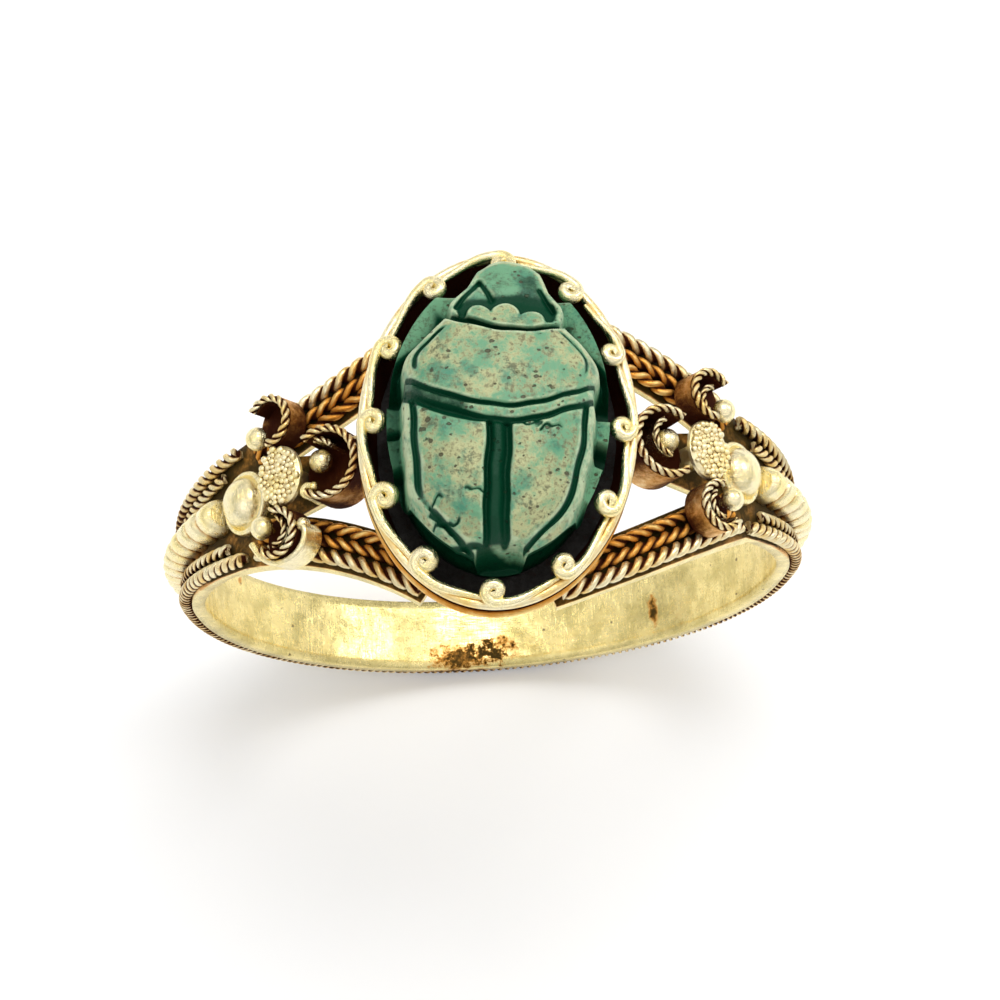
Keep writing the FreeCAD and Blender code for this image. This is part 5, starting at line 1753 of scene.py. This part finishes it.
class SCARABRING_OT_collet(bpy.types.Operator):
    """Make the collet's plate, wall, rim and foot wires"""

    bl_idname = "scarab_ring.collet"
    bl_label = "Collet"
    bl_options = {"REGISTER", "UNDO"}

    def execute(self, context):
        build_collet()
        return {"FINISHED"}


class SCARABRING_OT_claws(bpy.types.Operator):
    """Roll the scroll claws on the rim"""

    bl_idname = "scarab_ring.claws"
    bl_label = "Claws"
    bl_options = {"REGISTER", "UNDO"}

    def execute(self, context):
        build_claws()
        return {"FINISHED"}


class SCARABRING_OT_petals(bpy.types.Operator):
    """Bend the open petals with their twisted rims"""

    bl_idname = "scarab_ring.petals"
    bl_label = "Petals"
    bl_options = {"REGISTER", "UNDO"}

    def execute(self, context):
        build_petals()
        return {"FINISHED"}


class SCARABRING_OT_balls(bpy.types.Operator):
    """Set the balls in the petals"""

    bl_idname = "scarab_ring.balls"
    bl_label = "Balls"
    bl_options = {"REGISTER", "UNDO"}

    def execute(self, context):
        build_balls()
        return {"FINISHED"}


class SCARABRING_OT_discs(bpy.types.Operator):
    """Make the granulated discs"""

    bl_idname = "scarab_ring.discs"
    bl_label = "Discs"
    bl_options = {"REGISTER", "UNDO"}

    def execute(self, context):
        build_discs()
        return {"FINISHED"}


class SCARABRING_OT_leaves(bpy.types.Operator):
    """Raise the smooth outer leaves"""

    bl_idname = "scarab_ring.leaves"
    bl_label = "Leaves"
    bl_options = {"REGISTER", "UNDO"}

    def execute(self, context):
        build_leaves()
        return {"FINISHED"}


class SCARABRING_OT_scrolls(bpy.types.Operator):
    """Add the inner strips and scrolls of the rosettes"""

    bl_idname = "scarab_ring.scrolls"
    bl_label = "Scrolls"
    bl_options = {"REGISTER", "UNDO"}

    def execute(self, context):
        build_scrolls()
        return {"FINISHED"}


class SCARABRING_OT_ribs(bpy.types.Operator):
    """Sweep the graduated ribs on the shoulders"""

    bl_idname = "scarab_ring.ribs"
    bl_label = "Ribs"
    bl_options = {"REGISTER", "UNDO"}

    def execute(self, context):
        build_ribs()
        return {"FINISHED"}


class SCARABRING_OT_links(bpy.types.Operator):
    """Finish the solder bars to the collet"""

    bl_idname = "scarab_ring.links"
    bl_label = "Links"
    bl_options = {"REGISTER", "UNDO"}

    def execute(self, context):
        build_links()
        return {"FINISHED"}


class SCARABRING_OT_stone(bpy.types.Operator):
    """Carve the glazed scarab"""

    bl_idname = "scarab_ring.stone"
    bl_label = "Stone"
    bl_options = {"REGISTER", "UNDO"}

    def execute(self, context):
        build_stone()
        return {"FINISHED"}


class SCARABRING_OT_bed(bpy.types.Operator):
    """Finish the dark resin under the stone"""

    bl_idname = "scarab_ring.bed"
    bl_label = "Bed"
    bl_options = {"REGISTER", "UNDO"}

    def execute(self, context):
        build_bed()
        return {"FINISHED"}


class SCARABRING_OT_stage(bpy.types.Operator):
    """Set up floor, light and camera"""

    bl_idname = "scarab_ring.stage"
    bl_label = "Stage"
    bl_options = {"REGISTER", "UNDO"}

    def execute(self, context):
        build_stage()
        return {"FINISHED"}


OPERATORS = (
    SCARABRING_OT_finishes,
    SCARABRING_OT_hoop,
    SCARABRING_OT_hoop_wires,
    SCARABRING_OT_arm_wires,
    SCARABRING_OT_collet,
    SCARABRING_OT_claws,
    SCARABRING_OT_petals,
    SCARABRING_OT_balls,
    SCARABRING_OT_discs,
    SCARABRING_OT_leaves,
    SCARABRING_OT_scrolls,
    SCARABRING_OT_ribs,
    SCARABRING_OT_links,
    SCARABRING_OT_stone,
    SCARABRING_OT_bed,
    SCARABRING_OT_stage,
)


class SCARABRING_PT_panel(bpy.types.Panel):
    bl_idname = "SCARABRING_PT_panel"
    bl_label = "Scarab Ring"
    bl_space_type = "VIEW_3D"
    bl_region_type = "UI"
    bl_category = "Scarab Ring"

    def draw(self, context):
        layout = self.layout
        for operator in OPERATORS:
            layout.operator(operator.bl_idname)
        for name, _, label in SIZE_GROUPS:
            box = layout.box()
            box.label(text=label)
            group = getattr(context.scene, name)
            for key in group.__annotations__:
                box.prop(group, key)


def register():
    for name, group, _ in SIZE_GROUPS:
        bpy.utils.register_class(group)
        setattr(bpy.types.Scene, name, PointerProperty(type=group))
    for operator in OPERATORS:
        bpy.utils.register_class(operator)
    bpy.utils.register_class(SCARABRING_PT_panel)


def unregister():
    bpy.utils.unregister_class(SCARABRING_PT_panel)
    for operator in reversed(OPERATORS):
        bpy.utils.unregister_class(operator)
    for name, group, _ in reversed(SIZE_GROUPS):
        delattr(bpy.types.Scene, name)
        bpy.utils.unregister_class(group)


def main():
    register()
    for operator in OPERATORS:
        family, action = operator.bl_idname.split(".")
        getattr(getattr(bpy.ops, family), action)()


if __name__ == "__main__":
    main()
